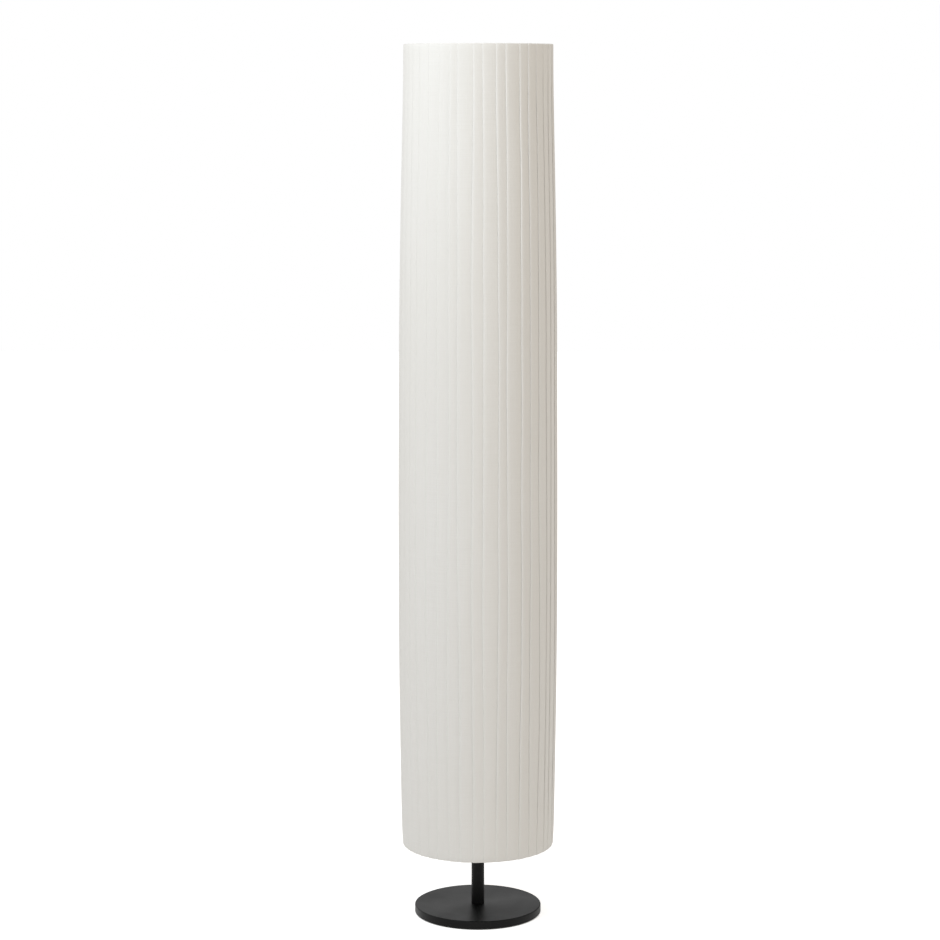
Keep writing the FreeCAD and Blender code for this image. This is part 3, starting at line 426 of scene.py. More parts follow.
class PleatedCloth:
    """The cloth in the making: one pleat's line, copied round the shade and drawn along its stations."""

    FIRST_PLEAT = 0.5  # how far the first pleat lies from the X axis, in pitches
    NEXT_FOLD = 0.6  # share of the pitch from which a panel stands up with the next fold
    LEVELS = 20  # heights at which the belly is looked for

    def __init__(self, sizes):
        self.sizes = sizes
        self.pitch = FULL_TURN / sizes.pleats
        self.mesh = bmesh.new()
        self.across = self.mesh.verts.layers.float.new("across")
        self.lift = self.mesh.verts.layers.float.new("lift")
        self.along = self.mesh.verts.layers.float.new("along")
        self.risen = self.mesh.verts.layers.float.new("risen")

    def draw_pleat(self, line):
        """Draws one pleat on a circle of radius 1, and returns the cloth in it."""
        rise_per_level = (SHADE_TOP - SHADE_BOTTOM) / self.LEVELS
        belly = max(FOLD_EDGE(SHADE_BOTTOM + rise_per_level * level) for level in range(self.LEVELS + 1))
        spots = [Vector((belly * self.pitch * step, self.sizes.depth * rise)) for step, rise in line]
        corners = []
        run = 0.0
        for (step, rise), spot, before in zip(line, spots, spots[:1] + spots):
            run += (spot - before).length
            corner = self.mesh.verts.new((math.cos(step * self.pitch), math.sin(step * self.pitch), 0.0))
            corner[self.across] = step
            corner[self.lift] = rise
            corner[self.along] = run
            corners.append(corner)
        for first, second in zip(corners, corners[1:]):
            self.mesh.edges.new((first, second))
        return run

    def copy_round(self, foot):
        """Copies the pleat round the circle and joins each copy to the next, where its lift is foot."""
        bmesh.ops.spin(
            self.mesh,
            geom=self.mesh.verts[:] + self.mesh.edges[:],
            cent=(0, 0, 0),
            axis=(0, 0, 1),
            angle=FULL_TURN - self.pitch,
            steps=self.sizes.pleats - 1,
            use_duplicate=True,
        )
        ends = [
            vertex
            for vertex in self.mesh.verts
            if abs(vertex[self.lift] - foot) < NEARLY_SAME_PLACE and vertex[self.across] in (0.0, 1.0)
        ]
        bmesh.ops.remove_doubles(self.mesh, verts=ends, dist=10 * NEARLY_SAME_PLACE)

    def pleat_of(self, vertex, first_pleat):
        """Which pleat a vertex belongs to, if the first one lies so many pitches from the X axis."""
        turn = math.atan2(vertex.co.y, vertex.co.x) / self.pitch
        return round(turn - first_pleat - vertex[self.across]) % self.sizes.pleats

    def lay(self, level, station, developed):
        """Puts one level of the cloth in its place at a station."""
        for vertex, number in level.items():
            across, lift = vertex[self.across], vertex[self.lift]
            following = (number + 1) % self.sizes.pleats
            here = wander(number, station.height, self.sizes)
            there = wander(following, station.height, self.sizes)
            strayed = here + (there - here) * min(across, 1.0)
            turn = (number + self.FIRST_PLEAT + across + strayed) * self.pitch
            stand = standing(number if across < self.NEXT_FOLD else following, station.height, self.sizes)
            rise = lift * station.depth * (1 + (stand - 1) * lift)
            radius = station.radius + station.facing.x * rise
            height = station.height + station.facing.y * rise
            vertex.co = (radius * math.cos(turn), radius * math.sin(turn), height)
            vertex[self.risen] = developed

    def draw_up(self, stations):
        """Draws the first level, which holds the whole mesh, along the stations."""
        level = {vertex: self.pleat_of(vertex, 0.0) for vertex in self.mesh.verts}
        developed = 0.0
        edges = self.mesh.edges[:]
        self.lay(level, stations[0], developed)
        for before, station in zip(stations, stations[1:]):
            developed += math.hypot(station.radius - before.radius, station.height - before.height)
            known = {vertex: vertex.link_edges[:] for vertex in level}
            drawn = bmesh.ops.extrude_edge_only(self.mesh, edges=edges)["geom"]
            edges = [item for item in drawn if isinstance(item, bmesh.types.BMEdge)]
            risen_level = {}
            for vertex, old_edges in known.items():
                rung = next(edge for edge in vertex.link_edges if edge not in old_edges)
                risen_level[rung.other_vert(vertex)] = level[vertex]
            level = risen_level
            self.lay(level, station, developed)

    def lay_out(self, run):
        """Charts the cloth flat in metres: pleat after pleat across, and station after station up."""
        chart = self.mesh.loops.layers.uv.new("cloth")
        whole = run * self.sizes.pleats
        for face in self.mesh.faces:
            corners = [loop.vert for loop in face.loops]
            runs = [self.pleat_of(corner, self.FIRST_PLEAT) * run + corner[self.along] for corner in corners]
            longest = max(runs)
            for loop, reached in zip(face.loops, runs):
                if longest - reached > whole / 2:
                    reached += whole
                loop[chart].uv = (reached, loop.vert[self.risen])


def pleat_cloth(sizes):
    """The mesh of the pleated cloth, with both hems and its flat chart."""
    cloth = PleatedCloth(sizes)
    line = pleat_line(sizes.underlay, sizes.bow)
    foot = line[0][1]
    run = cloth.draw_pleat(line + [(1.0, foot)])
    cloth.copy_round(foot)
    cloth.draw_up(cloth_stations(sizes))
    cloth.lay_out(run)
    return cloth.mesh


def slit_for_spokes(mesh, clear):
    """Opens the hem behind the top ring where the spokes pass through it."""
    ring_radius, ring_height, wire = ring_wire("top_ring")
    behind = ring_radius - wire * 0.55
    bottom, top = ring_height - 20 * MILLIMETRE, ring_height + wire
    doomed = []
    for face in mesh.faces:
        spot = face.calc_center_median()
        if spot.xy.length < behind and bottom < spot.z < top and near_spoke(spot, clear):
            doomed.append(face)
    bmesh.ops.delete(mesh, geom=doomed, context="FACES")


def spoke_directions():
    """Unit vectors from the middle of the spider to the outer end of each spoke."""
    outer_part = 0.9 * ring_wire("top_ring")[0]
    same_spoke = 0.9
    spokes = []
    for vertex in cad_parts["top_spider"].data.vertices:
        spot = vertex.co.xy
        if spot.length <= outer_part:
            continue
        for spoke in spokes:
            if spot.normalized().dot(spoke[0].normalized()) > same_spoke:
                spoke.append(spot)
                break
        else:
            spokes.append([spot])
    return [sum(spoke, Vector((0, 0))).normalized() for spoke in spokes]


SPOKES = spoke_directions()


def near_spoke(spot, clear):
    """Tells whether a point lies beside one of the spokes, outward from the hub."""
    return any(
        spot.xy.dot(spoke) > 0 and abs(spot.x * spoke.y - spot.y * spoke.x) < clear for spoke in SPOKES
    )


class LAMP_OT_pleated_cloth(bpy.types.Operator):
    """Pleats the cloth round the shade and turns its hems over the two rings"""

    bl_idname = "lamp.pleated_cloth"
    bl_label = "Pleated cloth"

    def execute(self, context):
        sizes = context.scene.lamp_cloth
        mesh = pleat_cloth(sizes)
        slit_for_spokes(mesh, context.scene.lamp_tapes.notch)
        bmesh.ops.recalc_face_normals(mesh, faces=mesh.faces[:])
        for face in mesh.faces:
            face.smooth = True
        material = cloth_finish(context.scene.lamp_colours.cloth)
        cloth = add_piece("pleated_cloth", mesh, "shade", material, ["pleated_cover"])
        thicken(cloth, sizes.thickness)
        return {"FINISHED"}


# ----------------------------------------------------------------------------------------------------
# Rim tapes
# ----------------------------------------------------------------------------------------------------


def tape_points(node, upward, sizes, cloth):
    """The tape's section: a wall on the inner side of a ring, folded over it on top of the hem."""
    ring_radius, ring_height, wire = ring_wire(node)
    tallest_fold = 1.3
    crown_gap = 0.3 * MILLIMETRE
    bend_steps = 5
    hem = cloth.hem_depth * tallest_fold + 2 * cloth.thickness
    wall = ring_radius - wire - hem - sizes.thickness
    crown = ring_height + upward * (wire + crown_gap + hem)
    points = [(wall, crown - upward * sizes.wall), (wall, crown - upward * sizes.wall / 2)]
    for step in range(bend_steps + 1):
        turn = sizes.reach * step / bend_steps
        across = wall + sizes.fold * (1 - math.cos(turn))
        points.append((across, crown - upward * sizes.fold * (1 - math.sin(turn))))
    return points


def notch_tape(mesh, clear):
    """Cuts the wall of the top tape open round each spoke."""
    _, ring_height, wire = ring_wire("top_ring")
    top_of_notch = ring_height + wire
    cuts = [(Vector((0, 0, top_of_notch)), Vector((0, 0, 1)))]
    for spoke in SPOKES:
        aside = Vector((-spoke.y, spoke.x, 0))
        cuts += [(aside * clear, aside), (-aside * clear, aside)]
    for point, facing in cuts:
        near = [face for face in mesh.faces if near_spoke(face.calc_center_median(), 4 * clear)]
        geometry = set(near)
        for face in near:
            geometry.update(face.edges)
            geometry.update(face.verts)
        bmesh.ops.bisect_plane(mesh, geom=list(geometry), dist=SAME_PLACE, plane_co=point, plane_no=facing)
    doomed = [
        face
        for face in mesh.faces
        if face.calc_center_median().z < top_of_notch and near_spoke(face.calc_center_median(), clear)
    ]
    bmesh.ops.delete(mesh, geom=doomed, context="FACES")


class LAMP_OT_rim_tapes(bpy.types.Operator):
    """Folds a woven tape over the cloth's hem at each ring"""

    bl_idname = "lamp.rim_tapes"
    bl_label = "Rim tapes"

    def execute(self, context):
        sizes = context.scene.lamp_tapes
        material = tape_finish(context.scene.lamp_colours.tape)
        for node, upward in (("top", 1), ("bottom", -1)):
            points = tape_points(f"{node}_ring", upward, sizes, context.scene.lamp_cloth)
            mesh = turned(points, sizes.steps)
            chart = mesh.loops.layers.uv.new("tape")
            chart_round(mesh, chart, points)
            if upward > 0:
                notch_tape(mesh, sizes.notch)
            for face in mesh.faces:
                face.smooth = True
            tape = add_piece(f"{node}_tape", mesh, "shade", material, [f"{node}_rim_tape"])
            thicken(tape, sizes.thickness)
        return {"FINISHED"}


def chart_round(mesh, chart, points):
    """Lays a turned band out flat in metres: round the axis, and up its section."""
    middle = points[0][0]
    for face in mesh.faces:
        angles = [math.atan2(loop.vert.co.y, loop.vert.co.x) for loop in face.loops]
        furthest = max(angles)
        for loop, angle in zip(face.loops, angles):
            if furthest - angle > math.pi:
                angle += FULL_TURN
            loop[chart].uv = (angle * middle, loop.vert.co.z + loop.vert.co.xy.length)


# ----------------------------------------------------------------------------------------------------
# Threads
# ----------------------------------------------------------------------------------------------------

THREAD_SIDES = 56
CAP_ROWS = 42
SHELL_ROWS = 40
ROD_SIDES = 20
BORE_SIDES = 24
NUT_SIDES = 6
NUT_BORE_SIDES = 36


def helix_wave(vertex, centre, pitch):
    """Height of a right-handed rolled thread at a point, from -1 in a valley to 1 on a crest."""
    angle = math.atan2(vertex.co.y - centre.y, vertex.co.x - centre.x)
    return math.cos(FULL_TURN * vertex.co.z / pitch - angle)


def roll_thread(mesh, centre, low, high, sizes):
    """Rolls a round thread into the rows of a thin shell between two heights."""
    fade = sizes.bulb_pitch * 0.6
    for vertex in mesh.verts:
        present = eased((vertex.co.z - low) / fade) * eased((high - vertex.co.z) / fade)
        if present <= 0:
            continue
        outward = (vertex.co - centre).xy
        depth = sizes.bulb_depth * (1 - helix_wave(vertex, centre, sizes.bulb_pitch)) / 2 * present
        vertex.co.xy -= outward.normalized() * depth


def rows_between(radius, low, high, rows):
    """Even points up a straight wall."""
    return [(radius, low + (high - low) * row / rows) for row in range(rows + 1)]


def bulb_cap(node, sizes):
    """The bulb's cap: a rolled screw thread over a cone with an insulating collar."""
    low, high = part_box(node)
    centre = (low + high) / 2
    radius = (high.x - low.x) / 2
    height = high.z - low.z
    neck = radius * 0.62
    shoulder = 3.2 * MILLIMETRE
    thread_start = shoulder + 1.4 * MILLIMETRE
    thread_end = 3.0 * MILLIMETRE
    points = [(neck * 0.55, 0.0), (neck * 0.8, 0.0)]
    points += [(neck, 0.35 * MILLIMETRE), (neck + 0.3 * MILLIMETRE, 1.2 * MILLIMETRE)]
    points += [(radius - 1.6 * MILLIMETRE, shoulder)]
    points += [(radius - 0.5 * MILLIMETRE, shoulder + 0.6 * MILLIMETRE)]
    points += rows_between(radius, thread_start, height - 0.6 * MILLIMETRE, CAP_ROWS)
    points += [(radius - 0.3 * MILLIMETRE, height), (radius - 1.1 * MILLIMETRE, height)]
    mesh = turned(points, THREAD_SIDES)
    bmesh.ops.holes_fill(mesh, edges=open_edges(mesh))
    move_mesh(mesh, centre.x, centre.y, low.z)
    roll_thread(mesh, centre, low.z + thread_start, high.z - thread_end, sizes)
    bmesh.ops.recalc_face_normals(mesh, faces=mesh.faces[:])
    shade_smoothly(mesh)
    return mesh


def screw_shell(node, sizes):
    """The holder's brass screw shell: the same thread in sheet metal, with a floor and a rolled lip."""
    low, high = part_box(node)
    centre = (low + high) / 2
    radius = (high.x - low.x) / 2
    height = high.z - low.z
    wall = 0.4 * MILLIMETRE
    bend = 1.5 * MILLIMETRE
    hole = 6.5 * MILLIMETRE
    corner = bend * 0.3
    outer = [(hole, 0.0), (radius - bend, 0.0), (radius - corner, corner)]
    outer += rows_between(radius, bend, height - wall / 2, SHELL_ROWS)
    inner = [(hole, wall), (radius - bend - wall * 0.4, wall), (radius - corner - wall, corner + wall * 0.6)]
    inner += rows_between(radius - wall, bend, height - wall / 2, SHELL_ROWS)
    mesh = turned(outer + [(radius - wall / 2, height)] + inner[::-1] + outer[:1], THREAD_SIDES)
    move_mesh(mesh, centre.x, centre.y, low.z)
    roll_thread(mesh, centre, low.z + bend + 0.5 * MILLIMETRE, high.z - 1.0 * MILLIMETRE, sizes)
    shade_smoothly(mesh)
    return mesh


class LAMP_OT_bulb_threads(bpy.types.Operator):
    """Rolls the screw thread of the bulbs' caps and of the shells that take them"""

    bl_idname = "lamp.bulb_threads"
    bl_label = "Bulb threads"

    def execute(self, context):
        sizes = context.scene.lamp_threads
        colours = context.scene.lamp_colours
        aluminium = metal_finish("bulb_aluminium", colours.aluminium, roughness=0.34, marks=0.25)
        brass = metal_finish("shell_brass", colours.brass, roughness=0.30, marks=0.35)
        for side in HOLDERS:
            cap, shell = f"{side}_bulb_cap", f"{side}_screw_shell"
            mesh = bulb_cap(cap, sizes)
            add_piece(f"{side}_threaded_cap", mesh, f"{side}_bulb", aluminium, [cap])
            mesh = screw_shell(shell, sizes)
            add_piece(f"{side}_threaded_shell", mesh, "stand", brass, [shell])
        return {"FINISHED"}


def cut_level(mesh, height, keep_below):
    """Cuts a mesh level at a height and keeps what lies below or above it."""
    bmesh.ops.bisect_plane(
        mesh,
        geom=mesh.verts[:] + mesh.edges[:] + mesh.faces[:],
        dist=SAME_PLACE,
        plane_co=(0, 0, height),
        plane_no=(0, 0, 1),
        clear_outer=keep_below,
        clear_inner=not keep_below,
    )


def threaded_rod(low, high, bore, sizes):
    """A length of lamp rod: a cut thread outside and, if it is hollow, a plain bore inside. The thread
    starts off the facets, so that no end cut runs through a corner."""
    spot = (low + high) / 2
    radius = (high.x - low.x) / 2
    off_the_facets = 0.3
    spare_turns = 3
    mesh = bmesh.new()
    turns = math.ceil((high.z - low.z) / sizes.rod_pitch) + spare_turns
    start = low.z - sizes.rod_pitch * (1 + off_the_facets / ROD_SIDES)
    points = []
    for turn in range(turns):
        level = start + turn * sizes.rod_pitch
        points += [(radius - sizes.rod_depth, level), (radius, level + sizes.rod_pitch / 2)]
    points.append((radius - sizes.rod_depth, start + turns * sizes.rod_pitch))
    add_line(mesh, points)
    spin_line(mesh, ROD_SIDES, rise=sizes.rod_pitch)
    bmesh.ops.remove_doubles(mesh, verts=mesh.verts[:], dist=NEARLY_SAME_PLACE)
    cut_level(mesh, low.z, keep_below=False)
    cut_level(mesh, high.z, keep_below=True)
    if bore > 0:
        wall = []
        for height in (low.z, high.z):
            rim = open_rim(mesh, height, (high.z - low.z) / 4)
            hole = add_circle(mesh, bore / 2, height, BORE_SIDES)
            bmesh.ops.triangle_fill(mesh, edges=rim + hole, use_beauty=True, normal=(0, 0, 1))
            wall += hole
        bmesh.ops.bridge_loops(mesh, edges=wall)
    else:
        bmesh.ops.holes_fill(mesh, edges=open_edges(mesh))
    bmesh.ops.recalc_face_normals(mesh, faces=mesh.faces[:])
    move_mesh(mesh, spot.x, spot.y)
    shade_smoothly(mesh, math.radians(60))
    return mesh


def solids_of(node):
    """The separate solids of a node, each as (lowest corner, highest corner)."""
    mesh = bmesh.new()
    mesh.from_mesh(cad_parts[node].data)
    bmesh.ops.remove_doubles(mesh, verts=mesh.verts[:], dist=NEARLY_SAME_PLACE)
    waiting = set(mesh.verts)
    boxes = []
    while waiting:
        island = [waiting.pop()]
        for vertex in island:
            for edge in vertex.link_edges:
                other = edge.other_vert(vertex)
                if other in waiting:
                    waiting.discard(other)
                    island.append(other)
        spots = np.array([vertex.co[:] for vertex in island])
        boxes.append((Vector(spots.min(0)), Vector(spots.max(0))))
    mesh.free()
    return sorted(boxes, key=lambda corners: corners[0].z)


def joined(meshes):
    """Several bmeshes as one."""
    whole = bmesh.new()
    for part in meshes:
        data = bpy.data.meshes.new("part")
        part.to_mesh(data)
        part.free()
        whole.from_mesh(data)
        bpy.data.meshes.remove(data)
    return whole


def hex_nut(low, high, bore):
    """A nut with its corners chamfered top and bottom."""
    centre = (low + high) / 2
    flats = (high.y - low.y) / 2
    corner = flats / math.cos(math.pi / NUT_SIDES)
    chamfer_start = flats * 0.97
    chamfer_slope = 0.55
    crown = 0.55 * MILLIMETRE
    rise = high.z - low.z
    mesh = bmesh.new()
    bmesh.ops.create_cone(
        mesh,
        cap_ends=False,
        segments=NUT_SIDES,
        radius1=corner,
        radius2=corner,
        depth=rise,
        matrix=Matrix.Translation((0, 0, centre.z)),
    )
    upright = [edge for edge in mesh.edges if not edge.is_boundary]
    bmesh.ops.subdivide_edges(mesh, edges=upright, cuts=2)
    level = [edge for edge in mesh.edges if abs(edge.verts[0].co.z - edge.verts[1].co.z) < SAME_PLACE]
    bmesh.ops.subdivide_edges(mesh, edges=level, cuts=5, use_grid_fill=True)
    for vertex in mesh.verts:
        upward = 1 if vertex.co.z > centre.z else -1
        end = centre.z + upward * rise / 2
        drop = max(vertex.co.xy.length - chamfer_start, 0.0) * chamfer_slope
        if abs(vertex.co.z - end) >= NEARLY_SAME_PLACE:
            drop += crown
        vertex.co.z = end - upward * drop
    for height in (low.z, high.z):
        rim = open_rim(mesh, height, crown * 2)
        bmesh.ops.bridge_loops(mesh, edges=rim + add_circle(mesh, bore / 2, height, NUT_BORE_SIDES))
    bmesh.ops.bridge_loops(mesh, edges=open_edges(mesh))
    bmesh.ops.recalc_face_normals(mesh, faces=mesh.faces[:])
    move_mesh(mesh, centre.x, centre.y)
    shade_smoothly(mesh)
    return mesh


class LAMP_OT_rods_and_nuts(bpy.types.Operator):
    """Cuts the threads of the lamp rods and shapes the nuts"""

    bl_idname = "lamp.rods_and_nuts"
    bl_label = "Rods and nuts"

    def execute(self, context):
        sizes = context.scene.lamp_threads
        zinc = metal_finish("zinc_plate", context.scene.lamp_colours.zinc, roughness=0.36, marks=0.3)
        rods = {"joint_nipples": sizes.rod_bore, "holder_nipples": sizes.rod_bore, "top_stud": 0.0}
        for node, bore in rods.items():
            parts = [threaded_rod(low, high, bore, sizes) for low, high in solids_of(node)]
            add_piece(f"{node}_threaded", joined(parts), "stand", zinc, [node])
        for node in ("base_nut", "holder_nuts"):
            parts = [hex_nut(low, high, sizes.nut_bore) for low, high in solids_of(node)]
            add_piece(f"{node}_chamfered", joined(parts), "stand", zinc, [node])
        return {"FINISHED"}


# ----------------------------------------------------------------------------------------------------
# Finishes
# ----------------------------------------------------------------------------------------------------


class Pattern:
    """Adds nodes to a node tree and links them."""

    def __init__(self, tree):
        self.nodes = tree.nodes
        self.links = tree.links

    def feed(self, socket, value):
        """Links a socket to an output, or gives it a plain value."""
        if isinstance(value, bpy.types.NodeSocket):
            self.links.new(value, socket)
        else:
            socket.default_value = value

    def node(self, kind, *values, **named):
        """A node with its inputs fed in order, or by name with spaces as underscores."""
        made = self.nodes.new(f"ShaderNode{kind}")
        for socket, value in zip(made.inputs, values):
            self.feed(socket, value)
        for name, value in named.items():
            self.feed(made.inputs[name.replace("_", " ")], value)
        return made

    def math(self, operation, first, second=0.0):
        made = self.node("Math", first, second)
        made.operation = operation
        return made.outputs[0]

    def vector_math(self, operation, *vectors):
        """The plain number that comes out of an operation on vectors."""
        made = self.node("VectorMath", *vectors)
        made.operation = operation
        return made.outputs["Value"]

    def spread(self, value, low, high, start=0.0, end=1.0):
        """Maps a value from start..end to low..high."""
        made = self.node("MapRange", Value=value, From_Min=start, From_Max=end, To_Min=low, To_Max=high)
        return made.outputs["Result"]

    def rising(self, value, start, end, most=1.0):
        """0 up to start, and most from end on."""
        return self.spread(value, 0.0, most, start, end)

    def mix(self, factor, under, over):
        """Lays one colour over another."""
        made = self.nodes.new("ShaderNodeMix")
        made.data_type = "RGBA"
        for socket, value in zip((made.inputs["Factor"], *made.inputs[6:8]), (factor, under, over)):
            self.feed(socket, value)
        return made.outputs[2]


class Finish(Pattern):
    """A material with one surface shader, whose patterns follow the piece's own place or chart."""

    def __init__(self, name, base, roughness, metallic=0.0, **sockets):
        self.material = bpy.data.materials.new(name)
        self.material.use_nodes = True
        self.material.diffuse_color = (*base, 1.0)
        super().__init__(self.material.node_tree)
        self.base = base
        self.shader = self.nodes["Principled BSDF"]
        self.place = self.node("TexCoord").outputs["Object"]
        sockets.update(Base_Color=(*base, 1.0), Roughness=roughness, Metallic=metallic)
        for socket, value in sockets.items():
            self.feed(self.shader.inputs[socket.replace("_", " ")], value)

    def chart(self, name):
        """The piece's own flat chart, in metres."""
        made = self.node("UVMap")
        made.uv_map = name
        return made.outputs["UV"]

    def noise(self, scale, detail=3.0, place=None, stretch=None):
        """Soft noise, scale in cycles a metre, stretched by (x, y, z) factors."""
        place = place or self.place
        if stretch:
            place = self.node("Mapping", Vector=place, Scale=stretch).outputs["Vector"]
        return self.node("TexNoise", Vector=place, Scale=scale, Detail=detail).outputs["Fac"]

    def stripes(self, value, spacing):
        """A wave from -1 to 1 that comes back after each spacing in metres."""
        return self.math("SINE", self.math("MULTIPLY", value, FULL_TURN / spacing))

    def tinted(self, amount, tint=(1.0, 1.0, 1.0)):
        """The base colour times a grey or tinted factor."""
        return tuple(min(part * amount * lift, 1.0) for part, lift in zip(self.base, tint)) + (1.0,)

    def paint(self, colour_output):
        self.feed(self.shader.inputs["Base Color"], colour_output)

    def roughen(self, value):
        self.feed(self.shader.inputs["Roughness"], value)

    def emboss(self, heights):
        """Chains bumps given as (height value, depth in metres, strength)."""
        beneath = {}
        for height, depth, strength in heights:
            bump = self.node("Bump", Height=height, Distance=depth, Strength=strength, **beneath)
            beneath = {"Normal": bump.outputs["Normal"]}
        self.feed(self.shader.inputs["Normal"], beneath["Normal"])

    def sharp_edge_mask(self, reach):
        """0 on the flats and 1 on sharp edges, from how far a rounded corner's normal turns away."""
        edge_start, edge_end = 0.02, 0.25
        rounded = self.node("Bevel", Radius=reach)
        rounded.samples = 6
        flat = self.node("NewGeometry").outputs["Normal"]
        likeness = self.vector_math("DOT_PRODUCT", rounded.outputs["Normal"], flat)
        return self.rising(self.math("SUBTRACT", 1.0, likeness), edge_start, edge_end)


def cloth_finish(base):
    """Fine plain-woven polyester: crossed yarns with slubs, a soft sheen and faint unevenness."""
    cloth = Finish(
        "white_pleated_cloth", base, 0.78, Sheen_Weight=0.18, Sheen_Roughness=0.45, Specular_IOR_Level=0.28
    )
    yarn = 0.42 * MILLIMETRE
    chart = cloth.chart("cloth")
    parts = cloth.node("SeparateXYZ", Vector=chart)
    warp = cloth.stripes(parts.outputs["X"], yarn)
    weft = cloth.stripes(parts.outputs["Y"], yarn)
    weave = cloth.math("MULTIPLY", warp, weft)
    slubs_up = cloth.noise(900.0, 2.0, chart, (1.0, 0.02, 1.0))
    slubs_across = cloth.noise(900.0, 2.0, chart, (0.02, 1.0, 1.0))
    slubs = cloth.math("ADD", slubs_up, slubs_across)
    clouds = cloth.noise(7.0, 4.0, stretch=(1.0, 1.0, 0.35))
    yarns = cloth.mix(cloth.rising(slubs, 0.7, 1.3), cloth.tinted(0.975, (1, 1, 0.99)), cloth.tinted(1.02))
    cloth.paint(cloth.mix(cloth.rising(clouds, 0.3, 0.7), yarns, cloth.tinted(0.97, (1.0, 0.995, 0.98))))
    cloth.roughen(cloth.spread(slubs, 0.70, 0.86, 0.7, 1.3))
    crinkle = cloth.noise(60.0, 3.0, chart, (1.0, 0.22, 1.0))
    cloth.emboss([(crinkle, 0.0006, 0.35), (slubs, 0.00008, 0.5), (weave, 0.00003, 0.6)])
    return cloth.material


def tape_finish(base):
    """Woven rim tape with fine cross ribs, painted darker in the hollows between the ribs as shade."""
    tape = Finish("woven_rim_tape", base, 0.85, Sheen_Weight=0.2, Sheen_Roughness=0.5)
    chart = tape.chart("tape")
    parts = tape.node("SeparateXYZ", Vector=chart)
    ribs = tape.stripes(parts.outputs["X"], 0.9 * MILLIMETRE)
    yarns = tape.stripes(parts.outputs["Y"], 0.35 * MILLIMETRE)
    clouds = tape.noise(120.0, 3.0, chart)
    # The hollows between the ribs are painted darker, as painted shade.
    ribs_shaded_in_hollows = tape.mix(tape.rising(ribs, -1.0, 1.0), tape.tinted(0.86), tape.tinted(1.04))
    tape.paint(tape.mix(tape.rising(clouds, 0.3, 0.7, 0.5), ribs_shaded_in_hollows, tape.tinted(0.93, (1.0, 0.99, 0.96))))
    tape.emboss([(ribs, 0.00012, 0.7), (yarns, 0.00003, 0.5)])
    return tape.material


def powder_coat_finish(name, base, edge_wear_and_highlight_colour):
    """Satin powder coat: a fine orange peel, faint speckle, and edges rubbed a little brighter, which on the
    black coat is also a painted edge highlight.
    """
    coat = Finish(name, base, 0.42, Specular_IOR_Level=0.135)
    peel = coat.noise(1500.0, 2.0)
    swell = coat.noise(260.0, 2.0)
    speckle = coat.noise(5200.0, 1.0)
    clouds = coat.noise(14.0, 4.0)
    even = coat.mix(coat.rising(clouds, 0.35, 0.65), coat.tinted(0.86), coat.tinted(1.18))
    fine = coat.mix(coat.rising(speckle, 0.62, 0.72, 0.5), even, coat.tinted(1.9))
    patches = coat.rising(coat.noise(420.0, 3.0), 0.42, 0.62, 0.45)
    # Rubbed edges: worn coat, and on the black coat partly a painted edge highlight.
    edge_wear_and_highlight = coat.math("MULTIPLY", coat.sharp_edge_mask(0.7 * MILLIMETRE), patches)
    coat.paint(coat.mix(edge_wear_and_highlight, fine, (*edge_wear_and_highlight_colour, 1.0)))
    rough = coat.spread(clouds, 0.39, 0.47, 0.35, 0.65)
    coat.roughen(coat.math("SUBTRACT", rough, coat.math("MULTIPLY", edge_wear_and_highlight, 0.12)))
    coat.emboss([(swell, 0.00010, 0.20), (peel, 0.00004, 0.35)])
    return coat.material


def metal_finish(name, base, roughness, marks):
    """Bare or plated metal: turning marks round its axis, stains and a dulled surface."""
    metal = Finish(name, base, roughness, 1.0)
    rings = metal.noise(1800.0, 2.0, stretch=(0.05, 0.05, 1.0))
    stains = metal.noise(160.0, 4.0)
    grains = metal.noise(900.0, 3.0)
    dull = metal.tinted(0.74, (1.0, 0.97, 0.9))
    stained = metal.mix(metal.rising(stains, 0.35, 0.7), metal.tinted(1.0), dull)
    metal.paint(metal.mix(metal.rising(rings, 0.4, 0.7, 0.4), stained, metal.tinted(0.85)))
    metal.roughen(metal.spread(grains, roughness - 0.06, roughness + 0.16, 0.3, 0.7))
    metal.emboss([(rings, 0.00003, marks), (grains, 0.00002, 0.2)])
    return metal.material


def moulded_finish(name, base, roughness, gloss=0.5, **sockets):
    """Moulded plastic or glaze: slight flow marks, a fine grain and scuffed edges."""
    plastic = Finish(name, base, roughness, Specular_IOR_Level=gloss, **sockets)
    flow = plastic.noise(55.0, 3.0, stretch=(1.0, 1.0, 0.3))
    fine = plastic.noise(2400.0, 2.0)
    patches = plastic.rising(plastic.noise(500.0, 3.0), 0.4, 0.65, 0.5)
    scuff = plastic.math("MULTIPLY", plastic.sharp_edge_mask(0.4 * MILLIMETRE), patches)
    body = plastic.mix(plastic.rising(flow, 0.35, 0.65), plastic.tinted(0.93), plastic.tinted(1.05))
    rubbed = tuple(min(0.02 + part * 1.35, 0.9) for part in base) + (1.0,)
    plastic.paint(plastic.mix(scuff, body, rubbed))
    plastic.roughen(plastic.spread(flow, roughness - 0.04, roughness + 0.07, 0.35, 0.65))
    plastic.emboss([(flow, 0.0003, 0.15), (fine, 0.00002, 0.3)])
    return plastic.material


def rubber_finish(base):
    """Matt rubber with a fine grain and a little dust."""
    rubber = Finish("black_rubber", base, 0.8, Specular_IOR_Level=0.25)
    dust_colour = (0.07, 0.068, 0.064, 1.0)
    grain = rubber.noise(1900.0, 3.0)
    dust = rubber.noise(45.0, 5.0)
    rubber.paint(rubber.mix(rubber.rising(dust, 0.45, 0.75, 0.5), rubber.tinted(1.0), dust_colour))
    rubber.roughen(rubber.spread(dust, 0.72, 0.9, 0.3, 0.7))
    rubber.emboss([(grain, 0.00008, 0.5)])
    return rubber.material


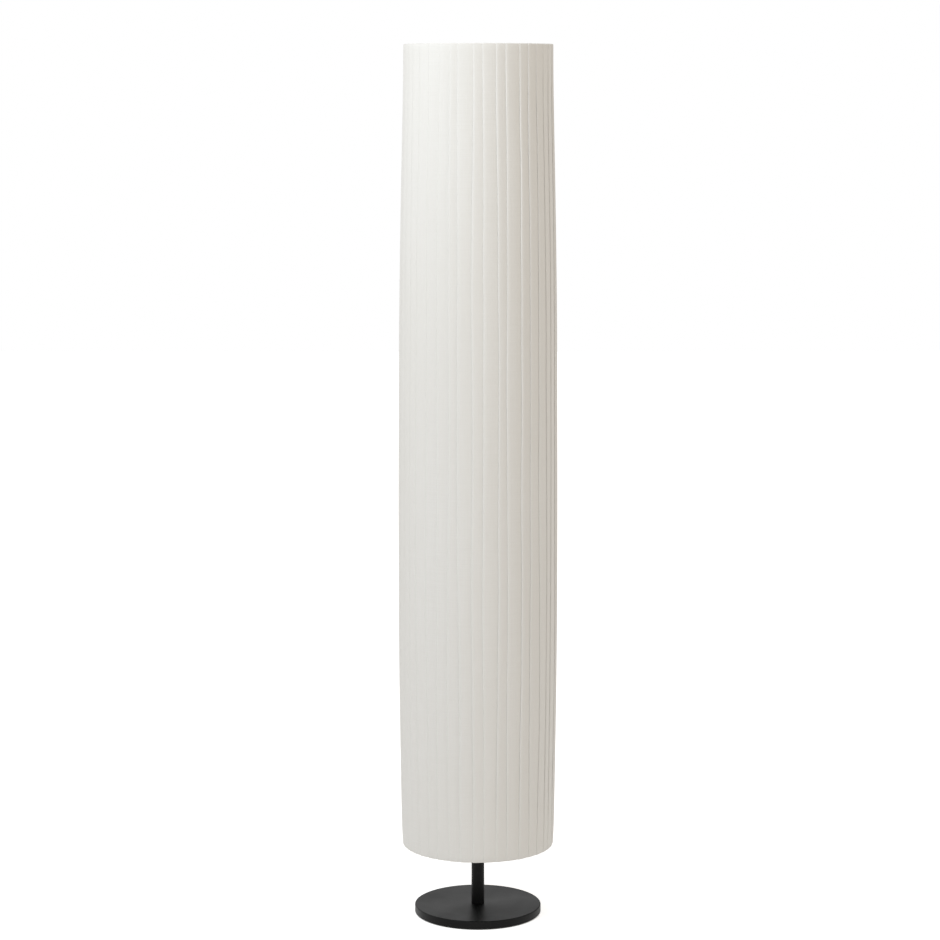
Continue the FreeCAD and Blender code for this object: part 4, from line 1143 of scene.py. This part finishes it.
def opal_finish(base):
    """Opal plastic that lets light in a little way, with a faint wave from moulding."""
    skin = {"Subsurface_Weight": 0.35, "Subsurface_Scale": 0.004, "Subsurface_Radius": (1.0, 0.92, 0.8)}
    opal = Finish("bulb_opal", base, 0.32, Specular_IOR_Level=0.5, **skin)
    wave = opal.noise(40.0, 2.0)
    haze = opal.noise(600.0, 3.0)
    warm = opal.tinted(0.98, (1.0, 0.995, 0.98))
    opal.paint(opal.mix(opal.rising(wave, 0.35, 0.65), warm, opal.tinted(1.02)))
    opal.roughen(opal.spread(haze, 0.28, 0.38, 0.3, 0.7))
    opal.emboss([(wave, 0.0002, 0.15)])
    return opal.material


def film_finish(base):
    """Milky film: drawn streaks along its length and a soft gloss."""
    skin = {"Subsurface_Weight": 0.2, "Subsurface_Scale": 0.003}
    film = Finish("liner_film", base, 0.38, Specular_IOR_Level=0.45, **skin)
    streaks = film.noise(260.0, 3.0, stretch=(1.0, 1.0, 0.02))
    clouds = film.noise(12.0, 3.0)
    streaked = film.mix(film.rising(streaks, 0.3, 0.7), film.tinted(0.97), film.tinted(1.03))
    film.paint(film.mix(film.rising(clouds, 0.3, 0.7, 0.5), streaked, film.tinted(0.96, (1.0, 0.99, 0.96))))
    film.roughen(film.spread(streaks, 0.33, 0.45, 0.3, 0.7))
    film.emboss([(streaks, 0.00008, 0.25), (clouds, 0.0008, 0.2)])
    return film.material


def dress(material, *nodes):
    """Gives solids that stay in view their finish."""
    for node in nodes:
        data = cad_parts[node].data
        data.materials.clear()
        data.materials.append(material)


class LAMP_OT_foot_and_pole(bpy.types.Operator):
    """Coats the foot, pole and arms, and finishes the pad and what fixes the foot"""

    bl_idname = "lamp.foot_and_pole"
    bl_label = "Foot and pole"

    def execute(self, context):
        colours = context.scene.lamp_colours
        # The lighter edge colour is rubbed wear and partly a painted edge highlight.
        coat = powder_coat_finish("black_powder_coat", colours.black_coat, (0.035, 0.034, 0.033))
        dress(coat, "base_plate", "pole_lower", "pole_middle", "pole_upper", "lower_arm", "upper_arm")
        grommets = ("inlet_grommet", "lower_outlet_grommet", "upper_outlet_grommet")
        dress(rubber_finish(colours.rubber), "base_pad", *grommets)
        zinc = metal_finish("zinc_sheet", colours.zinc, roughness=0.4, marks=0.2)
        dress(zinc, "base_washer", "pole_inserts", "knob_washer")
        return {"FINISHED"}


class LAMP_OT_holders_and_leads(bpy.types.Operator):
    """Finishes the lamp holders and the leads between them"""

    bl_idname = "lamp.holders_and_leads"
    bl_label = "Holders and leads"

    def execute(self, context):
        colours = context.scene.lamp_colours
        plastic = moulded_finish("black_moulding", colours.black_plastic, 0.34)
        ceramic = moulded_finish("glazed_ceramic", colours.ceramic, 0.22, Coat_Weight=0.4, Coat_Roughness=0.1)
        contact = metal_finish("contact_brass", colours.brass, roughness=0.3, marks=0.3)
        for side in HOLDERS:
            dress(plastic, f"{side}_holder_cap", f"{side}_holder_shell")
            dress(ceramic, f"{side}_holder_insert")
            dress(contact, f"{side}_centre_contact", f"{side}_bulb_tip")
        dress(moulded_finish("lead_sheath", colours.lead, 0.46, gloss=0.4), "supply_lead", "link_lead")
        return {"FINISHED"}


class LAMP_OT_bulbs(bpy.types.Operator):
    """Finishes the bulbs' housings and globes"""

    bl_idname = "lamp.bulbs"
    bl_label = "Bulbs"

    def execute(self, context):
        colours = context.scene.lamp_colours
        housing = moulded_finish("bulb_housing", colours.white_plastic, 0.4)
        opal = opal_finish(colours.opal)
        for side in HOLDERS:
            dress(housing, f"{side}_bulb_housing")
            dress(opal, f"{side}_bulb_globe")
        return {"FINISHED"}


class LAMP_OT_shade_frame(bpy.types.Operator):
    """Finishes the shade's wire, its liner and the knob that holds it"""

    bl_idname = "lamp.shade_frame"
    bl_label = "Shade frame"

    def execute(self, context):
        colours = context.scene.lamp_colours
        wire = powder_coat_finish("white_wire_coat", colours.white_coat, (0.6, 0.6, 0.58))
        dress(wire, "top_ring", "bottom_ring", "top_spider")
        dress(film_finish(colours.film), "shade_liner", "liner_seam")
        dress(moulded_finish("knob_plastic", colours.black_plastic, 0.36), "knob_grip")
        dress(metal_finish("knob_insert_brass", colours.brass, roughness=0.3, marks=0.4), "knob_brass")
        return {"FINISHED"}


# ----------------------------------------------------------------------------------------------------
# Stage
# ----------------------------------------------------------------------------------------------------


def seen_directly(pattern):
    """1 for rays that the camera, a gloss or a glass sends out, and 0 for light on the object."""
    rays = pattern.node("LightPath").outputs
    mirrored = pattern.math("MAXIMUM", rays["Is Camera Ray"], rays["Is Glossy Ray"])
    return pattern.math("MAXIMUM", mirrored, rays["Is Transmission Ray"])


def light_room(settings):
    """An even, slightly warm room that looks white itself."""
    world = bpy.data.worlds.new("room")
    world.use_nodes = True
    bpy.context.scene.world = world
    room = Pattern(world.node_tree)
    lit = room.nodes["Background"]
    room.feed(lit.inputs["Color"], (*settings.room_tint, 1.0))
    room.feed(lit.inputs["Strength"], settings.room)
    white = room.node("Background", Color=(1.0, 1.0, 1.0, 1.0), Strength=1.0)
    chosen = room.node("MixShader", seen_directly(room), lit.outputs[0], white.outputs[0])
    room.feed(room.nodes["World Output"].inputs["Surface"], chosen.outputs[0])


def clear_of_foot(floor, settings):
    """The floor's glow, which falls to 0 in the gap under the foot's edge, leaving a painted contact shadow
    there.
    """
    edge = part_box("base_plate")[1].x
    reach = floor.vector_math("LENGTH", floor.place)
    return floor.rising(reach, edge - settings.foot_gap, edge, settings.glow)


def floor_finish(settings):
    """Pale and matt, bright to the camera, and open to a camera beneath it."""
    floor = Finish("pale_floor", (settings.floor_grey,) * 3, 0.9, Specular_IOR_Level=0.0)
    glow = floor.math("MULTIPLY", seen_directly(floor), clear_of_foot(floor, settings))
    lamp = floor.node("Emission", Strength=glow)
    both = floor.node("AddShader", floor.shader.outputs[0], lamp.outputs[0])
    beneath = floor.node("NewGeometry").outputs["Backfacing"]
    clear = floor.node("BsdfTransparent")
    shown = floor.node("MixShader", beneath, both.outputs[0], clear.outputs[0])
    floor.feed(floor.nodes["Material Output"].inputs["Surface"], shown.outputs[0])
    return floor.material


def lay_floor(settings):
    """A plain floor that keeps the lamp's shadow and runs out into the white room."""
    mesh = bmesh.new()
    bmesh.ops.create_grid(mesh, x_segments=1, y_segments=1, size=settings.floor_side / 2)
    floor = add_object("floor", mesh, floor_finish(settings))


def place_lamp(name, settings):
    """A square soft lamp that looks at a height on the pole."""
    light = bpy.data.lights.new(name, "AREA")
    light.shape = "SQUARE"
    light.size = settings.lamp_width
    light.energy = getattr(settings, f"{name}_power")
    light.color = getattr(settings, f"{name}_tint")
    lamp = bpy.data.objects.new(name, light)
    bpy.context.scene.collection.objects.link(lamp)
    lamp.location = getattr(settings, f"{name}_place")
    lamp.visible_camera = False
    aim = Vector((0.0, 0.0, getattr(settings, f"{name}_aim")))
    lamp.rotation_euler = (aim - lamp.location).to_track_quat("-Z", "Y").to_euler()


def place_camera(settings):
    """The camera at the photograph's angle, for a square picture."""
    lens = bpy.data.cameras.new("camera")
    lens.sensor_fit = "HORIZONTAL"
    lens.sensor_width = SENSOR_WIDTH
    lens.lens = settings.focal_pixels * SENSOR_WIDTH / PHOTO_SIDE
    camera = bpy.data.objects.new("camera", lens)
    bpy.context.scene.collection.objects.link(camera)
    camera.location = (-settings.camera_aside, -settings.camera_distance, settings.camera_height)
    camera.rotation_euler = (RIGHT_ANGLE - settings.camera_pitch, 0.0, 0.0)
    bpy.context.scene.camera = camera


class LAMP_OT_stage(bpy.types.Operator):
    """Lays the floor, lights the room and sets up the camera"""

    bl_idname = "lamp.stage"
    bl_label = "Stage"

    def execute(self, context):
        settings = context.scene.lamp_stage
        context.scene.view_settings.view_transform = "Standard"
        lay_floor(settings)
        light_room(settings)
        for name in ("key", "fill"):
            place_lamp(name, settings)
        place_camera(settings)
        return {"FINISHED"}


# ----------------------------------------------------------------------------------------------------
# Panel and registration
# ----------------------------------------------------------------------------------------------------

OPERATORS = (
    LAMP_OT_foot_and_pole,
    LAMP_OT_rods_and_nuts,
    LAMP_OT_holders_and_leads,
    LAMP_OT_bulbs,
    LAMP_OT_bulb_threads,
    LAMP_OT_shade_frame,
    LAMP_OT_pleated_cloth,
    LAMP_OT_rim_tapes,
    LAMP_OT_stage,
)
GROUPS = {
    "lamp_cloth": ClothSizes,
    "lamp_tapes": TapeSizes,
    "lamp_threads": ThreadSizes,
    "lamp_colours": LampColours,
    "lamp_stage": StageSettings,
}


class LAMP_PT_panel(bpy.types.Panel):
    """Lists the lamp's pieces with their sizes and colours"""

    bl_idname = "LAMP_PT_panel"
    bl_label = "Floor lamp"
    bl_space_type = "VIEW_3D"
    bl_region_type = "UI"
    bl_category = "Floor lamp"

    def draw(self, context):
        for operator in OPERATORS:
            self.layout.operator(operator.bl_idname)
        for name, group in GROUPS.items():
            box = self.layout.box()
            for field in group.__annotations__:
                box.prop(getattr(context.scene, name), field)


def register():
    for item in (*GROUPS.values(), *OPERATORS, LAMP_PT_panel):
        bpy.utils.register_class(item)
    for name, group in GROUPS.items():
        setattr(bpy.types.Scene, name, bpy.props.PointerProperty(type=group))


def unregister():
    for name in GROUPS:
        delattr(bpy.types.Scene, name)
    for item in (LAMP_PT_panel, *reversed(OPERATORS), *reversed(GROUPS.values())):
        bpy.utils.unregister_class(item)


def main():
    register()
    for operator in OPERATORS:
        group, name = operator.bl_idname.split(".")
        getattr(getattr(bpy.ops, group), name)()


if __name__ == "__main__":
    main()
